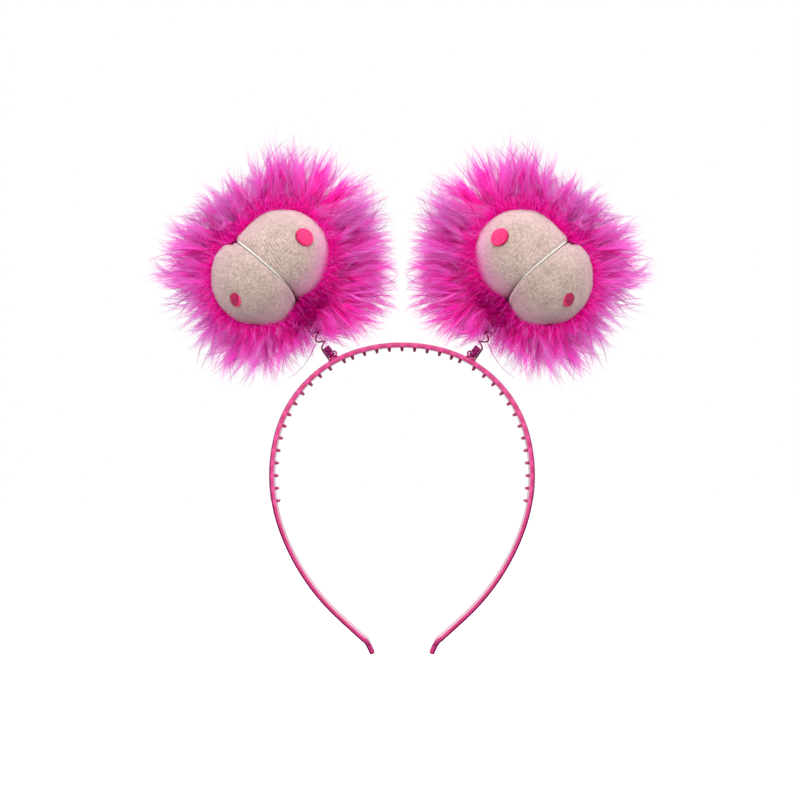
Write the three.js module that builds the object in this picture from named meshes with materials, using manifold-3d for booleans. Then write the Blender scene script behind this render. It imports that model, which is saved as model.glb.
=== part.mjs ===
// Head bopper: a toothed plastic headband that carries two stuffed balls on coil springs.
// Each ball is two fabric lobes drawn together by a white cord, with a felt dot on each lobe,
// and sits in a deep wreath of marabou down.
// Millimetres, +Z up, +X to the right seen from the front, front towards -Y.
// The origin is the crown of the band's inner face, where the band rests on the head.
import * as THREE from "three";
import { mergeVertices } from "three/addons/utils/BufferGeometryUtils.js";
import Module from "manifold-3d";

const wasm = await Module();
wasm.setup();

// Headband
const BAND_SPAN = 126.8; // outer width, side to side
const BAND_DEPTH = 9.6; // front edge to back edge
const BAND_THICKNESS = 2.3;
const BAND_EDGE = 0.6; // chamfer along the edges
const END_DEPTH = 4.2; // front to back of the nubs at the ends
const END_LENGTH = 6.2; // straight nub past the kink
const END_SHOULDER = 4.5; // over which the band narrows to the nub
const KINK_RADIUS = 2.6;
const KINK_TURN = 24; // degrees that the ends turn back outwards

// Teeth
const TOOTH_PITCH = 6.32; // along the band's outer face
const TOOTH_COUNT_SIDE = 18; // on each side of the middle one
const TOOTH_LENGTH = 2.2;
const TOOTH_ROOT_RADIUS = 0.95;
const TOOTH_TIP_RADIUS = 0.5;
const TOOTH_SUNK = 0.8; // how far the root reaches into the band

// Springs
const BOSS_REACH = 34.2; // from the crown to the boss along the band's outer face
const BOSS_RIM = 0.5; // how far the boss stands out round the coil
const BOSS_HEIGHT = 0.9;
const COIL_RADIUS = 1.8; // to the middle of the wire
const WIRE_RADIUS = 0.4;
const CLOSED_SPACE = 0.3; // between the closed turns
const FOOT_TURNS = 5;
const OPEN_TURNS = 4;
const HEAD_TURNS = 2.5;
const SPRING_LENGTH = 30.2; // middle of the first turn to middle of the last
const SPRING_LEAN = 35.7; // degrees outwards from upright
const SPRING_BACK = 12.7; // degrees backwards

// Balls
const LOBE_RADIUS = 22.1;
const LOBE_SPACING = 17.2; // between the lobes' centres
const LOBE_AXIS = new THREE.Vector3(12.3, 2.1, 11.85).normalize(); // lower to upper lobe
const BACK_FLAT = 10.2; // from the ball's centre to its flat back
const BALL_BEARING = 121.4; // degrees from +X of the line from the spring's head to the ball
const HEAD_INSET = 1.1; // how far the spring's head lies inside the lobes' radius
const SEAM_DEPTH = 3.0; // from the lobes' widest to the bottom of the seam
const SEAM_SHOULDER = 3.6; // how far each lobe rounds in to the seam
const CORD_RADIUS = 0.45;
const UPPER_DOT_RADIUS = 4.5;
const LOWER_DOT_RADIUS = 3.8;
const DOT_THICKNESS = 0.9;
const UPPER_DOT_AIM = new THREE.Vector3(10.5, -18.2, 6.9).normalize();
const LOWER_DOT_AIM = new THREE.Vector3(-9.0, -17.3, -10.45).normalize();

// Marabou wreaths
const FLUFF_RADIUS = 52; // from the middle of the wreath to the tips of its locks
const FLUFF_DEPTH = 36; // front to back of the dense down
const FLUFF_SHIFT = new THREE.Vector3(0.4, 11, 2.8); // from the ball's centre
const LOCK_RADIUS = 6; // half the width of a lock
const LOCK_BEND = 5; // how far a lock's tip curls sideways
const LOCK_UNEVEN = 0.05; // share of a lock's reach by which it differs from the next ones
const REACH_WAVE = 2.4; // radians from lock to lock of the wave in their reaches
const BEND_WAVE = 1.9; // and of the wave in their curls

const GAP = 0.3; // between pieces that touch
const DOWN_CLEARANCE = 0.8; // between the down and the ball in it
const DOWN_SPACE = 2.5; // between the down and the band under it
const MIDDLE_SPACE = 5; // between the two wreaths

// Outline of the band from the crown to one end, as arcs of its outer face.
const BAND_ARCS = [
  { name: "crown", radius: 1.177, sweep: 16.7 },
  { name: "temple", radius: 0.916, sweep: 58.8 },
  { name: "ear", radius: 1.216, sweep: 33.4 },
  { name: "leg", radius: 1.673, sweep: 28.0 },
  { name: "foot", radius: 8.9, sweep: 1.78 },
]; // radius is a share of half of BAND_SPAN, sweep is in degrees

// Section of the dense down: out is a share of the outline's radius, back a share of FLUFF_DEPTH.
const DOWN_SECTION = [
  { place: "back middle", out: 0.0, back: 0.42 },
  { place: "back rim", out: 0.36, back: 0.47 },
  { place: "back slope", out: 0.66, back: 0.36 },
  { place: "outer back", out: 0.82, back: 0.1 },
  { place: "outer front", out: 0.8, back: -0.16 },
  { place: "front lip", out: 0.58, back: -0.42 },
  { place: "front middle", out: 0.0, back: -0.38 },
];

// Radius of the wreath round the clock, as a share of FLUFF_RADIUS, every 30 degrees from the
// side that faces the other ball, upwards first.
const OUTLINE_SHARES = [1.06, 1.07, 1.04, 0.98, 0.9, 0.9, 0.98, 0.97, 0.98, 1.0, 0.9, 0.98];

// Rows of locks: root and tip are shares of the outline's radius, back is a share of FLUFF_DEPTH.
const LOCK_ROWS = [
  { row: "front", count: 13, root: 0.5, rootBack: -0.1, tip: 0.92, tipBack: -0.5 },
  { row: "outer", count: 20, root: 0.55, rootBack: 0.0, tip: 1.03, tipBack: 0.02 },
  { row: "rear", count: 12, root: 0.45, rootBack: 0.1, tip: 0.86, tipBack: 0.66 },
  { row: "nape", count: 4, root: 0.15, rootBack: 0.1, tip: 0.42, tipBack: 0.84 },
];

// Looks
const plastic = new THREE.MeshStandardMaterial({ color: 0xdc3a8a, roughness: 0.3, metalness: 0 });
const wire = new THREE.MeshStandardMaterial({ color: 0x8c1a66, roughness: 0.3, metalness: 0.7 });
const knit = new THREE.MeshStandardMaterial({ color: 0xdccabb, roughness: 0.95, metalness: 0 });
const cordThread = new THREE.MeshStandardMaterial({ color: 0xf4f0ee, roughness: 0.7, metalness: 0 });
const felt = new THREE.MeshStandardMaterial({ color: 0xf2447e, roughness: 0.95, metalness: 0 });
const down = new THREE.MeshStandardMaterial({ color: 0xe0199a, roughness: 0.9, metalness: 0 });

const radians = THREE.MathUtils.degToRad;

// A closed geometry as a solid that can be joined and cut.
function toSolid(geometry) {
  const bare = geometry.clone();
  for (const name of ["normal", "uv"]) bare.deleteAttribute(name);
  const merged = mergeVertices(bare, 1e-4);
  return new wasm.Manifold(
    new wasm.Mesh({
      numProp: 3,
      vertProperties: merged.attributes.position.array,
      triVerts: new Uint32Array(merged.index.array),
    }),
  );
}

function toGeometry(solid) {
  const mesh = solid.getMesh();
  const geometry = new THREE.BufferGeometry();
  geometry.setAttribute("position", new THREE.BufferAttribute(mesh.vertProperties, 3));
  geometry.setIndex(new THREE.BufferAttribute(mesh.triVerts, 1));
  geometry.computeVertexNormals();
  return geometry;
}

function join(solids) {
  return solids.reduce((whole, solid) => whole.add(solid));
}

// A closed skin through rings of equally many points, with a fan over each end.
function loft(rings) {
  const sides = rings[0].length;
  const points = rings.flat();
  const middle = (ring) =>
    ring.reduce((sum, point) => sum.add(point), new THREE.Vector3()).divideScalar(sides);
  const first = points.push(middle(rings[0])) - 1;
  const last = points.push(middle(rings[rings.length - 1])) - 1;
  const faces = [];
  for (let side = 0; side < sides; side++) {
    const next = (side + 1) % sides;
    faces.push(first, next, side);
    for (let ring = 0; ring < rings.length - 1; ring++) {
      const here = ring * sides;
      const there = here + sides;
      faces.push(here + side, here + next, there + next);
      faces.push(here + side, there + next, there + side);
    }
    const end = (rings.length - 1) * sides;
    faces.push(last, end + side, end + next);
  }
  const geometry = new THREE.BufferGeometry().setFromPoints(points);
  geometry.setIndex(faces);
  return geometry;
}

// Turns a geometry whose axis is +Y to point along a direction, and moves it.
function aim(geometry, direction, place) {
  const turn = new THREE.Quaternion().setFromUnitVectors(new THREE.Vector3(0, 1, 0), direction);
  return geometry.applyQuaternion(turn).translate(place.x, place.y, place.z);
}

// The band's outer face as a list of arcs and one straight end, on the right-hand side.
function bandCourse() {
  const half = BAND_SPAN / 2;
  const pieces = BAND_ARCS.map(({ radius, sweep }) => ({
    radius: radius * half,
    turn: radians(sweep),
  }));
  pieces.push({ radius: -KINK_RADIUS, turn: -radians(KINK_TURN) });
  const course = [];
  let x = 0;
  let z = BAND_THICKNESS;
  let heading = 0;
  let reach = 0;
  for (const { radius, turn } of pieces) {
    const length = radius * turn;
    course.push({ x, z, heading, reach, radius, length });
    x += radius * (Math.sin(heading + turn) - Math.sin(heading));
    z += radius * (Math.cos(heading + turn) - Math.cos(heading));
    heading += turn;
    reach += length;
  }
  course.push({ x, z, heading, reach, radius: Infinity, length: END_LENGTH });
  return course;
}

const COURSE = bandCourse();
const ENDS = COURSE[COURSE.length - 1];
const BAND_REACH = ENDS.reach + ENDS.length;
const KINK_REACH = COURSE[COURSE.length - 2].reach;
const SHOULDER_REACH = KINK_REACH - END_SHOULDER / 2;

// Point, heading and outward direction on the outer face, at a reach from the crown.
// A negative reach is on the left.
function onBand(reach) {
  const far = Math.abs(reach);
  const side = reach < 0 ? -1 : 1;
  const piece = COURSE.findLast((part) => part.reach <= far + 1e-9);
  const along = far - piece.reach;
  const heading = piece.heading + along / piece.radius;
  const straight = piece.radius === Infinity;
  const dx = straight
    ? along * Math.cos(heading)
    : piece.radius * (Math.sin(heading) - Math.sin(piece.heading));
  const dz = straight
    ? -along * Math.sin(heading)
    : piece.radius * (Math.cos(heading) - Math.cos(piece.heading));
  return {
    place: new THREE.Vector3(side * (piece.x + dx), 0, piece.z + dz),
    out: new THREE.Vector3(side * Math.sin(heading), 0, Math.cos(heading)),
  };
}

// Depth of the band from front to back, narrowing through a rounded shoulder to the nubs.
function bandDepth(reach) {
  const along = (Math.abs(reach) - SHOULDER_REACH) / END_SHOULDER;
  const share = THREE.MathUtils.clamp(along, 0, 1);
  return THREE.MathUtils.lerp(END_DEPTH, BAND_DEPTH, Math.sqrt(1 - share ** 2));
}

// A chamfered section across the band. Extra makes it larger all round, and shrink draws it in
// towards its middle for the round ends.
function bandRing(reach, { extra = 0, shrink = 0 } = {}) {
  const { place, out } = onBand(reach);
  const half = bandDepth(reach) / 2 + extra;
  const top = -extra;
  const low = BAND_THICKNESS + extra;
  const corners = [
    [-half + BAND_EDGE, top],
    [half - BAND_EDGE, top],
    [half, top + BAND_EDGE],
    [half, low - BAND_EDGE],
    [half - BAND_EDGE, low],
    [-half + BAND_EDGE, low],
    [-half, low - BAND_EDGE],
    [-half, top + BAND_EDGE],
  ];
  return corners.map(([across, deep]) => {
    const inward = THREE.MathUtils.lerp(deep, BAND_THICKNESS / 2, shrink);
    return place.clone().addScaledVector(out, -inward).setY(across * (1 - shrink));
  });
}

// Reaches at which the band has a section: every few degrees on an arc, and along the shoulder.
function bandReaches() {
  const degreesPerStep = 6.5;
  const shoulderSteps = 4;
  const reaches = [];
  for (const piece of COURSE.slice(0, -2)) {
    const turn = THREE.MathUtils.radToDeg(piece.length / piece.radius);
    const steps = Math.ceil(turn / degreesPerStep);
    for (let step = 0; step < steps; step++) {
      reaches.push(piece.reach + (piece.length * step) / steps);
    }
  }
  for (let step = 0; step <= shoulderSteps; step++) {
    const angle = (Math.PI / 2) * (step / shoulderSteps);
    reaches.push(SHOULDER_REACH + END_SHOULDER * Math.sin(angle));
  }
  const last = BAND_REACH - BAND_EDGE;
  const inOrder = reaches.filter((reach) => reach < last - BAND_EDGE).sort((a, b) => a - b);
  return [...inOrder, last];
}

// The band as one bent strip, or the room it takes up with some extra all round.
function bandStrip(extra = 0) {
  const half = bandReaches();
  const roundEnd = 0.4;
  const rings = [
    bandRing(BAND_REACH, { extra, shrink: roundEnd }),
    ...half.toReversed().map((reach) => bandRing(reach, { extra })),
    ...half.slice(1).map((reach) => bandRing(-reach, { extra })),
    bandRing(-BAND_REACH, { extra, shrink: roundEnd }),
  ];
  return toSolid(loft(rings));
}

// One blunt tooth, its root sunk in the inner face.
function tooth(reach) {
  const { place, out } = onBand(reach);
  const inward = out.clone().negate();
  const root = place.clone().addScaledVector(inward, BAND_THICKNESS - TOOTH_SUNK);
  const high = TOOTH_LENGTH + TOOTH_SUNK;
  const profile = [
    new THREE.Vector2(0, 0),
    new THREE.Vector2(TOOTH_ROOT_RADIUS, 0),
    new THREE.Vector2(TOOTH_TIP_RADIUS, high - TOOTH_TIP_RADIUS / 2),
    new THREE.Vector2(0, high),
  ];
  return toSolid(aim(new THREE.LatheGeometry(profile, 5), inward, root));
}

// Teeth stand at an even pitch, but the one before the boss steps clear of it.
function toothReach(index) {
  const reach = index * TOOTH_PITCH;
  const clear = BOSS_REACH - COIL_OUTSIDE - BOSS_RIM - 2 * TOOTH_ROOT_RADIUS;
  const beforeBoss = reach < BOSS_REACH && reach + TOOTH_PITCH > BOSS_REACH;
  return beforeBoss ? Math.min(reach, clear) : reach;
}

// Turns a geometry or a vector whose axis is +Y along the left spring, its +Z towards the front.
function alongSpring(thing) {
  const lean = new THREE.Matrix4().makeRotationY(-radians(SPRING_LEAN));
  const stand = new THREE.Matrix4().makeRotationX(radians(90 - SPRING_BACK));
  return thing.applyMatrix4(lean.multiply(stand));
}

// Where the left spring stands on the band, where it ends behind the ball, and its direction.
function springLine() {
  const { place } = onBand(-BOSS_REACH);
  const direction = alongSpring(new THREE.Vector3(0, 1, 0));
  const foot = place.clone().addScaledVector(direction, BOSS_HEIGHT + GAP + WIRE_RADIUS);
  const head = foot.clone().addScaledVector(direction, SPRING_LENGTH);
  return { place, direction, foot, head };
}

const SPRING = springLine();
const COIL_OUTSIDE = COIL_RADIUS + WIRE_RADIUS;
const CLOSED_PITCH = 2 * WIRE_RADIUS + CLOSED_SPACE;

// The ball's flat back lies against the coil's head, just inside the ball's lower edge.
const HEAD_REACH = LOBE_RADIUS - HEAD_INSET;
const BALL_PLACE = new THREE.Vector3(
  SPRING.head.x + HEAD_REACH * Math.cos(radians(BALL_BEARING)),
  SPRING.head.y - COIL_OUTSIDE - GAP - BACK_FLAT,
  SPRING.head.z + HEAD_REACH * Math.sin(radians(BALL_BEARING)),
);

// A foot on the band's outer face and a peg inside the closed turns, for one spring.
function springBoss(side) {
  const sunk = BAND_THICKNESS / 2;
  const start = SPRING.place.clone().addScaledVector(SPRING.direction, -sunk);
  const direction = SPRING.direction.clone();
  start.x *= -side;
  direction.x *= -side;
  const rim = COIL_OUTSIDE + BOSS_RIM;
  const peg = COIL_RADIUS - WIRE_RADIUS - GAP;
  const top = sunk + BOSS_HEIGHT;
  const pegTop = top + FOOT_TURNS * CLOSED_PITCH;
  const profile = [
    new THREE.Vector2(0, 0),
    new THREE.Vector2(rim - BOSS_RIM, 0),
    new THREE.Vector2(rim, top - BOSS_HEIGHT / 2),
    new THREE.Vector2(rim - BOSS_RIM, top),
    new THREE.Vector2(peg, top),
    new THREE.Vector2(peg, pegTop),
    new THREE.Vector2(0, pegTop + peg / 3),
  ];
  return toSolid(aim(new THREE.LatheGeometry(profile, 12), direction, start));
}

function headband() {
  const solids = [bandStrip(), springBoss(-1), springBoss(1)];
  for (let index = -TOOTH_COUNT_SIDE; index <= TOOTH_COUNT_SIDE; index++) {
    solids.push(tooth(Math.sign(index) * toothReach(Math.abs(index))));
  }
  return toGeometry(join(solids));
}

// The wire's own line: closed turns at the foot, open turns, and closed turns at the head.
class CoilCurve extends THREE.Curve {
  constructor(foot, head) {
    super();
    this.foot = foot;
    this.along = head.clone().sub(foot);
    this.high = this.along.length();
    this.along.normalize();
    this.across = new THREE.Vector3().crossVectors(this.along, new THREE.Vector3(0, 1, 0)).normalize();
    this.aside = new THREE.Vector3().crossVectors(this.along, this.across);
    this.turns = FOOT_TURNS + OPEN_TURNS + HEAD_TURNS;
    const closed = (FOOT_TURNS + HEAD_TURNS) * CLOSED_PITCH;
    this.openPitch = (this.high - closed) / OPEN_TURNS;
  }

  rise(turn) {
    const low = Math.min(turn, FOOT_TURNS) * CLOSED_PITCH;
    const open = THREE.MathUtils.clamp(turn - FOOT_TURNS, 0, OPEN_TURNS) * this.openPitch;
    const top = Math.max(turn - FOOT_TURNS - OPEN_TURNS, 0) * CLOSED_PITCH;
    return low + open + top;
  }

  getPoint(share, target = new THREE.Vector3()) {
    const turn = share * this.turns;
    const angle = turn * 2 * Math.PI;
    return target
      .copy(this.foot)
      .addScaledVector(this.along, this.rise(turn))
      .addScaledVector(this.across, COIL_RADIUS * Math.cos(angle))
      .addScaledVector(this.aside, COIL_RADIUS * Math.sin(angle));
  }

  // Equal steps of the turn, not of the length, keep each turn equally round.
  getPointAt(share, target) {
    return this.getPoint(share, target);
  }
}

function spring() {
  const curve = new CoilCurve(SPRING.foot, SPRING.head);
  const stepsPerTurn = 8;
  const sides = 5;
  const outline = Array.from({ length: sides }, (_, side) => {
    const angle = (2 * Math.PI * side) / sides;
    return new THREE.Vector2(WIRE_RADIUS * Math.cos(angle), WIRE_RADIUS * Math.sin(angle));
  });
  return new THREE.ExtrudeGeometry(new THREE.Shape(outline), {
    extrudePath: curve,
    steps: Math.round(curve.turns * stepsPerTurn),
    bevelEnabled: false,
  });
}

const LOBE_OFFSET = LOBE_AXIS.clone().multiplyScalar(LOBE_SPACING / 2);
const SHOULDER_OUT = Math.sqrt(LOBE_RADIUS ** 2 - (LOBE_SPACING / 2 - SEAM_SHOULDER) ** 2);
const SEAM_RADIUS = SHOULDER_OUT - SEAM_DEPTH;

// Everything behind the ball's flat back, as a solid to cut away.
function behindBall() {
  const size = 4 * (LOBE_RADIUS + LOBE_SPACING);
  return toSolid(new THREE.BoxGeometry(size, size, size).translate(0, BACK_FLAT + size / 2, 0));
}

// A round lobe, rounded in to the seam; side is 1 for the upper lobe and -1 for the lower.
function lobe(side) {
  const centre = LOBE_SPACING / 2;
  const shoulderSteps = 3;
  const domeSteps = 7;
  const profile = [new THREE.Vector2(0, GAP / 2)];
  for (let step = 0; step <= shoulderSteps; step++) {
    const angle = (Math.PI / 2) * (step / shoulderSteps);
    const out = SEAM_RADIUS + SEAM_DEPTH * Math.sin(angle);
    const high = GAP / 2 + (SEAM_SHOULDER - GAP / 2) * (1 - Math.cos(angle));
    profile.push(new THREE.Vector2(out, high));
  }
  const start = Math.asin((SEAM_SHOULDER - centre) / LOBE_RADIUS);
  for (let step = 1; step < domeSteps; step++) {
    const angle = THREE.MathUtils.lerp(start, Math.PI / 2, step / domeSteps);
    profile.push(new THREE.Vector2(LOBE_RADIUS * Math.cos(angle), centre + LOBE_RADIUS * Math.sin(angle)));
  }
  profile.push(new THREE.Vector2(0, centre + LOBE_RADIUS));
  const axis = LOBE_AXIS.clone().multiplyScalar(side);
  const round = aim(new THREE.LatheGeometry(profile, 22), axis, new THREE.Vector3());
  return toGeometry(toSolid(round).subtract(behindBall()));
}

// The white cord lies in the groove between the lobes, down to the flat back.
function seamCord() {
  const halfWidth = CORD_RADIUS + GAP;
  const angle = Math.acos(1 - (halfWidth - GAP / 2) / (SEAM_SHOULDER - GAP / 2));
  const ringRadius = SEAM_RADIUS + SEAM_DEPTH * Math.sin(angle);
  const ring = new THREE.TorusGeometry(ringRadius, CORD_RADIUS, 5, 30);
  ring.rotateX(Math.PI / 2);
  return toGeometry(toSolid(aim(ring, LOBE_AXIS, new THREE.Vector3())).subtract(behindBall()));
}

// A felt disc that follows the lobe's curve.
function dot(side, radius, direction) {
  const low = LOBE_RADIUS + GAP;
  const high = low + DOT_THICKNESS;
  const profile = [
    new THREE.Vector2(0, low),
    new THREE.Vector2(radius, Math.sqrt(low ** 2 - radius ** 2)),
    new THREE.Vector2(radius, Math.sqrt(high ** 2 - radius ** 2)),
    new THREE.Vector2(radius / 2, Math.sqrt(high ** 2 - (radius / 2) ** 2)),
    new THREE.Vector2(0, high),
  ];
  const centre = LOBE_OFFSET.clone().multiplyScalar(side);
  return aim(new THREE.LatheGeometry(profile, 14), direction, centre);
}

// Radius of the wreath at an angle, between the two nearest rows of the table.
function outlineRadius(angle) {
  const rows = OUTLINE_SHARES.length;
  const place = (((angle / (2 * Math.PI)) * rows) % rows + rows) % rows;
  const low = Math.floor(place);
  const share = THREE.MathUtils.lerp(
    OUTLINE_SHARES[low],
    OUTLINE_SHARES[(low + 1) % rows],
    place - low,
  );
  return FLUFF_RADIUS * share;
}

// A point of the wreath: angle round the ball, out and back as shares.
function onWreath(angle, out, back) {
  const radius = outlineRadius(angle) * out;
  return new THREE.Vector3(
    radius * Math.cos(angle),
    FLUFF_DEPTH * back,
    radius * Math.sin(angle),
  ).add(FLUFF_SHIFT);
}

// The dense down as one thick rounded wreath, closed behind the ball.
function denseDown() {
  const around = 24;
  const hub = 1e-3;
  const rings = DOWN_SECTION.map(({ out, back }) =>
    Array.from({ length: around }, (_, step) =>
      onWreath((2 * Math.PI * step) / around, Math.max(out, hub), back),
    ),
  );
  return toSolid(loft(rings));
}

// One lock of down: a bent, pointed tuft from inside the dense down.
function lock(root, tip, sideways) {
  const sides = 4;
  const along = tip.clone().sub(root).normalize();
  const across = new THREE.Vector3().crossVectors(along, new THREE.Vector3(0, 1, 0));
  if (across.lengthSq() < 1e-6) across.set(1, 0, 0);
  across.normalize();
  const aside = new THREE.Vector3().crossVectors(along, across);
  const sections = [
    { at: 0.2, wide: 0.9 },
    { at: 0.62, wide: 0.9 },
    { at: 1, wide: 0.08 },
  ];
  const rings = sections.map(({ at, wide }) => {
    const middle = root.clone().lerp(tip, at).addScaledVector(across, sideways * at ** 3);
    return Array.from({ length: sides }, (_, side) => {
      const angle = (2 * Math.PI * side) / sides;
      return middle
        .clone()
        .addScaledVector(across, LOCK_RADIUS * wide * Math.cos(angle))
        .addScaledVector(aside, LOCK_RADIUS * wide * Math.sin(angle));
    });
  });
  return toSolid(loft(rings));
}

// The locks stand in rows round the ball and lean alternately to the two sides.
function locks() {
  const solids = [];
  for (const { count, root, rootBack, tip, tipBack } of LOCK_ROWS) {
    for (let index = 0; index < count; index++) {
      const angle = (2 * Math.PI * (index + 0.5)) / count;
      const uneven = 1 + LOCK_UNEVEN * Math.sin(index * REACH_WAVE);
      const sideways = LOCK_BEND * Math.sin(index * BEND_WAVE + count);
      solids.push(
        lock(onWreath(angle, root, rootBack), onWreath(angle, tip * uneven, tipBack), sideways),
      );
    }
  }
  return solids;
}

// The room that the ball takes up in the wreath.
function ballRoom() {
  const radius = LOBE_RADIUS + DOWN_CLEARANCE;
  const balls = [-1, 1].map((side) => {
    const centre = LOBE_OFFSET.clone().multiplyScalar(side);
    return toSolid(new THREE.SphereGeometry(radius, 28, 18).translate(centre.x, centre.y, centre.z));
  });
  const size = 4 * (LOBE_RADIUS + LOBE_SPACING);
  const back = BACK_FLAT + GAP;
  const behind = toSolid(new THREE.BoxGeometry(size, size, size).translate(0, back + size / 2, 0));
  return join(balls).subtract(behind);
}

// The room that the spring takes up: a slot from the band to the coil's head, open at the front.
function springRoom() {
  const radius = COIL_OUTSIDE + GAP;
  const start = SPRING.place.clone().sub(BALL_PLACE);
  const high = SPRING.head.distanceTo(SPRING.place) + WIRE_RADIUS + GAP;
  const rod = new THREE.CylinderGeometry(radius, radius, high, 14).translate(0, high / 2, 0);
  const slot = new THREE.BoxGeometry(2 * radius, high, FLUFF_DEPTH);
  slot.translate(0, high / 2, FLUFF_DEPTH / 2);
  return join([rod, slot].map((room) => toSolid(alongSpring(room).translate(...start.toArray()))));
}

// What the down keeps clear of outside the ball: the band, and the middle between the wreaths.
function neighbourRoom() {
  const size = 4 * FLUFF_RADIUS;
  const middle = new THREE.BoxGeometry(size, size, size);
  middle.translate(size / 2 - MIDDLE_SPACE / 2, 0, 0);
  const toBall = BALL_PLACE.clone().negate().toArray();
  return bandStrip(DOWN_SPACE).add(toSolid(middle)).translate(toBall);
}

function marabou() {
  const whole = join([denseDown(), ...locks()])
    .subtract(ballRoom())
    .subtract(springRoom())
    .subtract(neighbourRoom());
  const largestFirst = whole.decompose().sort((a, b) => b.volume() - a.volume());
  return toGeometry(largestFirst[0]);
}

function mesh(name, geometry, material) {
  const made = new THREE.Mesh(geometry, material);
  made.name = name;
  return made;
}

// One ball with its wreath, in a group of its own at the ball's centre.
function ballGroup(side) {
  const group = new THREE.Group();
  group.add(
    mesh("upper_lobe_" + side, lobe(1), knit),
    mesh("lower_lobe_" + side, lobe(-1), knit),
    mesh("seam_cord_" + side, seamCord(), cordThread),
    mesh("upper_dot_" + side, dot(1, UPPER_DOT_RADIUS, UPPER_DOT_AIM), felt),
    mesh("lower_dot_" + side, dot(-1, LOWER_DOT_RADIUS, LOWER_DOT_AIM), felt),
    mesh("marabou_" + side, marabou(), down),
  );
  group.position.copy(BALL_PLACE);
  return group;
}

// The left bopper, as seen from the front; the right one is its mirror image.
function bopper(side) {
  const group = new THREE.Group();
  group.add(mesh("spring_" + side, spring(), wire), ballGroup(side));
  if (side === "right") group.scale.x = -1;
  return group;
}

const headBopper = new THREE.Group();
headBopper.add(mesh("headband", headband(), plastic), bopper("left"), bopper("right"));

export default headBopper;
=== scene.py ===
"""A head bopper: a pink toothed headband that carries two stuffed knit balls on coil springs,
each ball in a wreath of marabou down. Sizes are in millimetres, angles in degrees, and the
meshes are written in metres."""

import math

import bpy
import numpy as np
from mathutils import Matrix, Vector


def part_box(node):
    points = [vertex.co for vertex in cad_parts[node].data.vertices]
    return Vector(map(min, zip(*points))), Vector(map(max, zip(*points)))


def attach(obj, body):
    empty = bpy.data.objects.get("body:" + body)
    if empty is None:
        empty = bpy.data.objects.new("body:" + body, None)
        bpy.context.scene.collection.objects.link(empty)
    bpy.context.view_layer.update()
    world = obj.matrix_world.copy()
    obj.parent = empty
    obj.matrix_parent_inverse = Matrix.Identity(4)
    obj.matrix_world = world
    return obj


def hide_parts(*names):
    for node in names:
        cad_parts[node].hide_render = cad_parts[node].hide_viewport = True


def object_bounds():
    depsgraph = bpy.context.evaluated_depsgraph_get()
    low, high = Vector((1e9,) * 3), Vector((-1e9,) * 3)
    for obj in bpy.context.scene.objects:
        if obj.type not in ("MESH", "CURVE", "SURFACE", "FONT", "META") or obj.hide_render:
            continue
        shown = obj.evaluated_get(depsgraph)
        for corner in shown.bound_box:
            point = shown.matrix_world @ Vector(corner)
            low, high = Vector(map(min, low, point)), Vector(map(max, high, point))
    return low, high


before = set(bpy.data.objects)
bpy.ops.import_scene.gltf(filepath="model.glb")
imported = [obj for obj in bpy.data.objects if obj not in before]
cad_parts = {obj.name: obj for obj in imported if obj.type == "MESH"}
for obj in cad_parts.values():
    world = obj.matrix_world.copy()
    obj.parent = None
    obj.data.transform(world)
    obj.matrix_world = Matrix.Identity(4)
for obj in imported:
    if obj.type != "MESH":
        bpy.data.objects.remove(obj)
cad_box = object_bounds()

MM = 0.001
SEEDS = {  # of all random draws
    "lumps": 11, "upper": 5, "lower": 6, "felt": 21, "shades": 3, "ragged": 9,
    "wreath": 7, "ribbons": 30,
}
X, Y, _ = np.eye(3)
MIRROR = np.array([-1, 1, 1])  # from the left side to the right one
NEARLY_ALONG = 0.9  # share from which a direction counts as along the depth

# Camera, as the photograph was taken: level, straight in front, a little below the crown
CAMERA_DISTANCE = 650
CAMERA_SIDE = -0.96
CAMERA_HEIGHT = -25.2
FRAME_WIDTH = 384  # seen at the band's plane
SENSOR_WIDTH = 36

# Headband, as in the frame
BAND_SPAN = 126.8
BAND_DEPTH = 9.6
BAND_THICKNESS = 2.3
BAND_EDGE = 0.28  # rounding of its inner edges and ends
BAND_CHAMFER = (0.5, 1.0)  # on its outer edges, at the crown and at the ends
INNER_EDGE_SHARE = 0.8  # share of half its depth past which its inner face is painted darker towards the back, as painted shade
NUB_SWELL = 1.15  # how much thicker its end nubs are
END_DEPTH = 4.2
END_LENGTH = 6.2
END_SHOULDER = 4.5
END_ROUNDING = 0.6  # share by which the very end narrows
KINK_RADIUS = 2.6
KINK_TURN = 24
TOOTH_PITCH = 6.32  # along the band's outer face
TOOTH_COUNT_SIDE = 18
TOOTH_LENGTH = 1.95
TOOTH_ROOT_RADIUS = 0.86
TOOTH_TIP_RADIUS = 0.7
TOOTH_SUNK = 0.3  # how deep its root stands in the band
BAND_ARCS = [  # radius as a share of half the span, sweep in degrees
    ("crown", 1.177, 16.7),
    ("temple", 0.916, 58.8),
    ("ear", 1.216, 33.4),
    ("leg", 1.673, 28.0),
    ("foot", 8.9, 1.78),
]

# Springs
BOSS_REACH = 34.2
BOSS_RIM = 0.5
BOSS_HEIGHT = 0.9
COIL_RADIUS = 1.7
FOOT_COIL_RADIUS = 1.9
WIRE_RADIUS = 0.42
WIRE_SIDES = 10
CLOSED_PITCH = 1.1
FOOT_TURNS = 5
OPEN_TURNS = 4
HEAD_TURNS = 2.5
LOOP_RADIUS = 1.15  # of the wire's end, beside the foot
LOOP_HEIGHT = 0.5  # of its middle, above the first turn
LOOP_FORWARD = 2.7  # and in front of it
SPRING_LENGTH = 30.2
SPRING_LEAN = 35.7
SPRING_BACK = 12.7
SPRING_SHOWN = 0.52  # share of it that the down leaves clear

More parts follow.
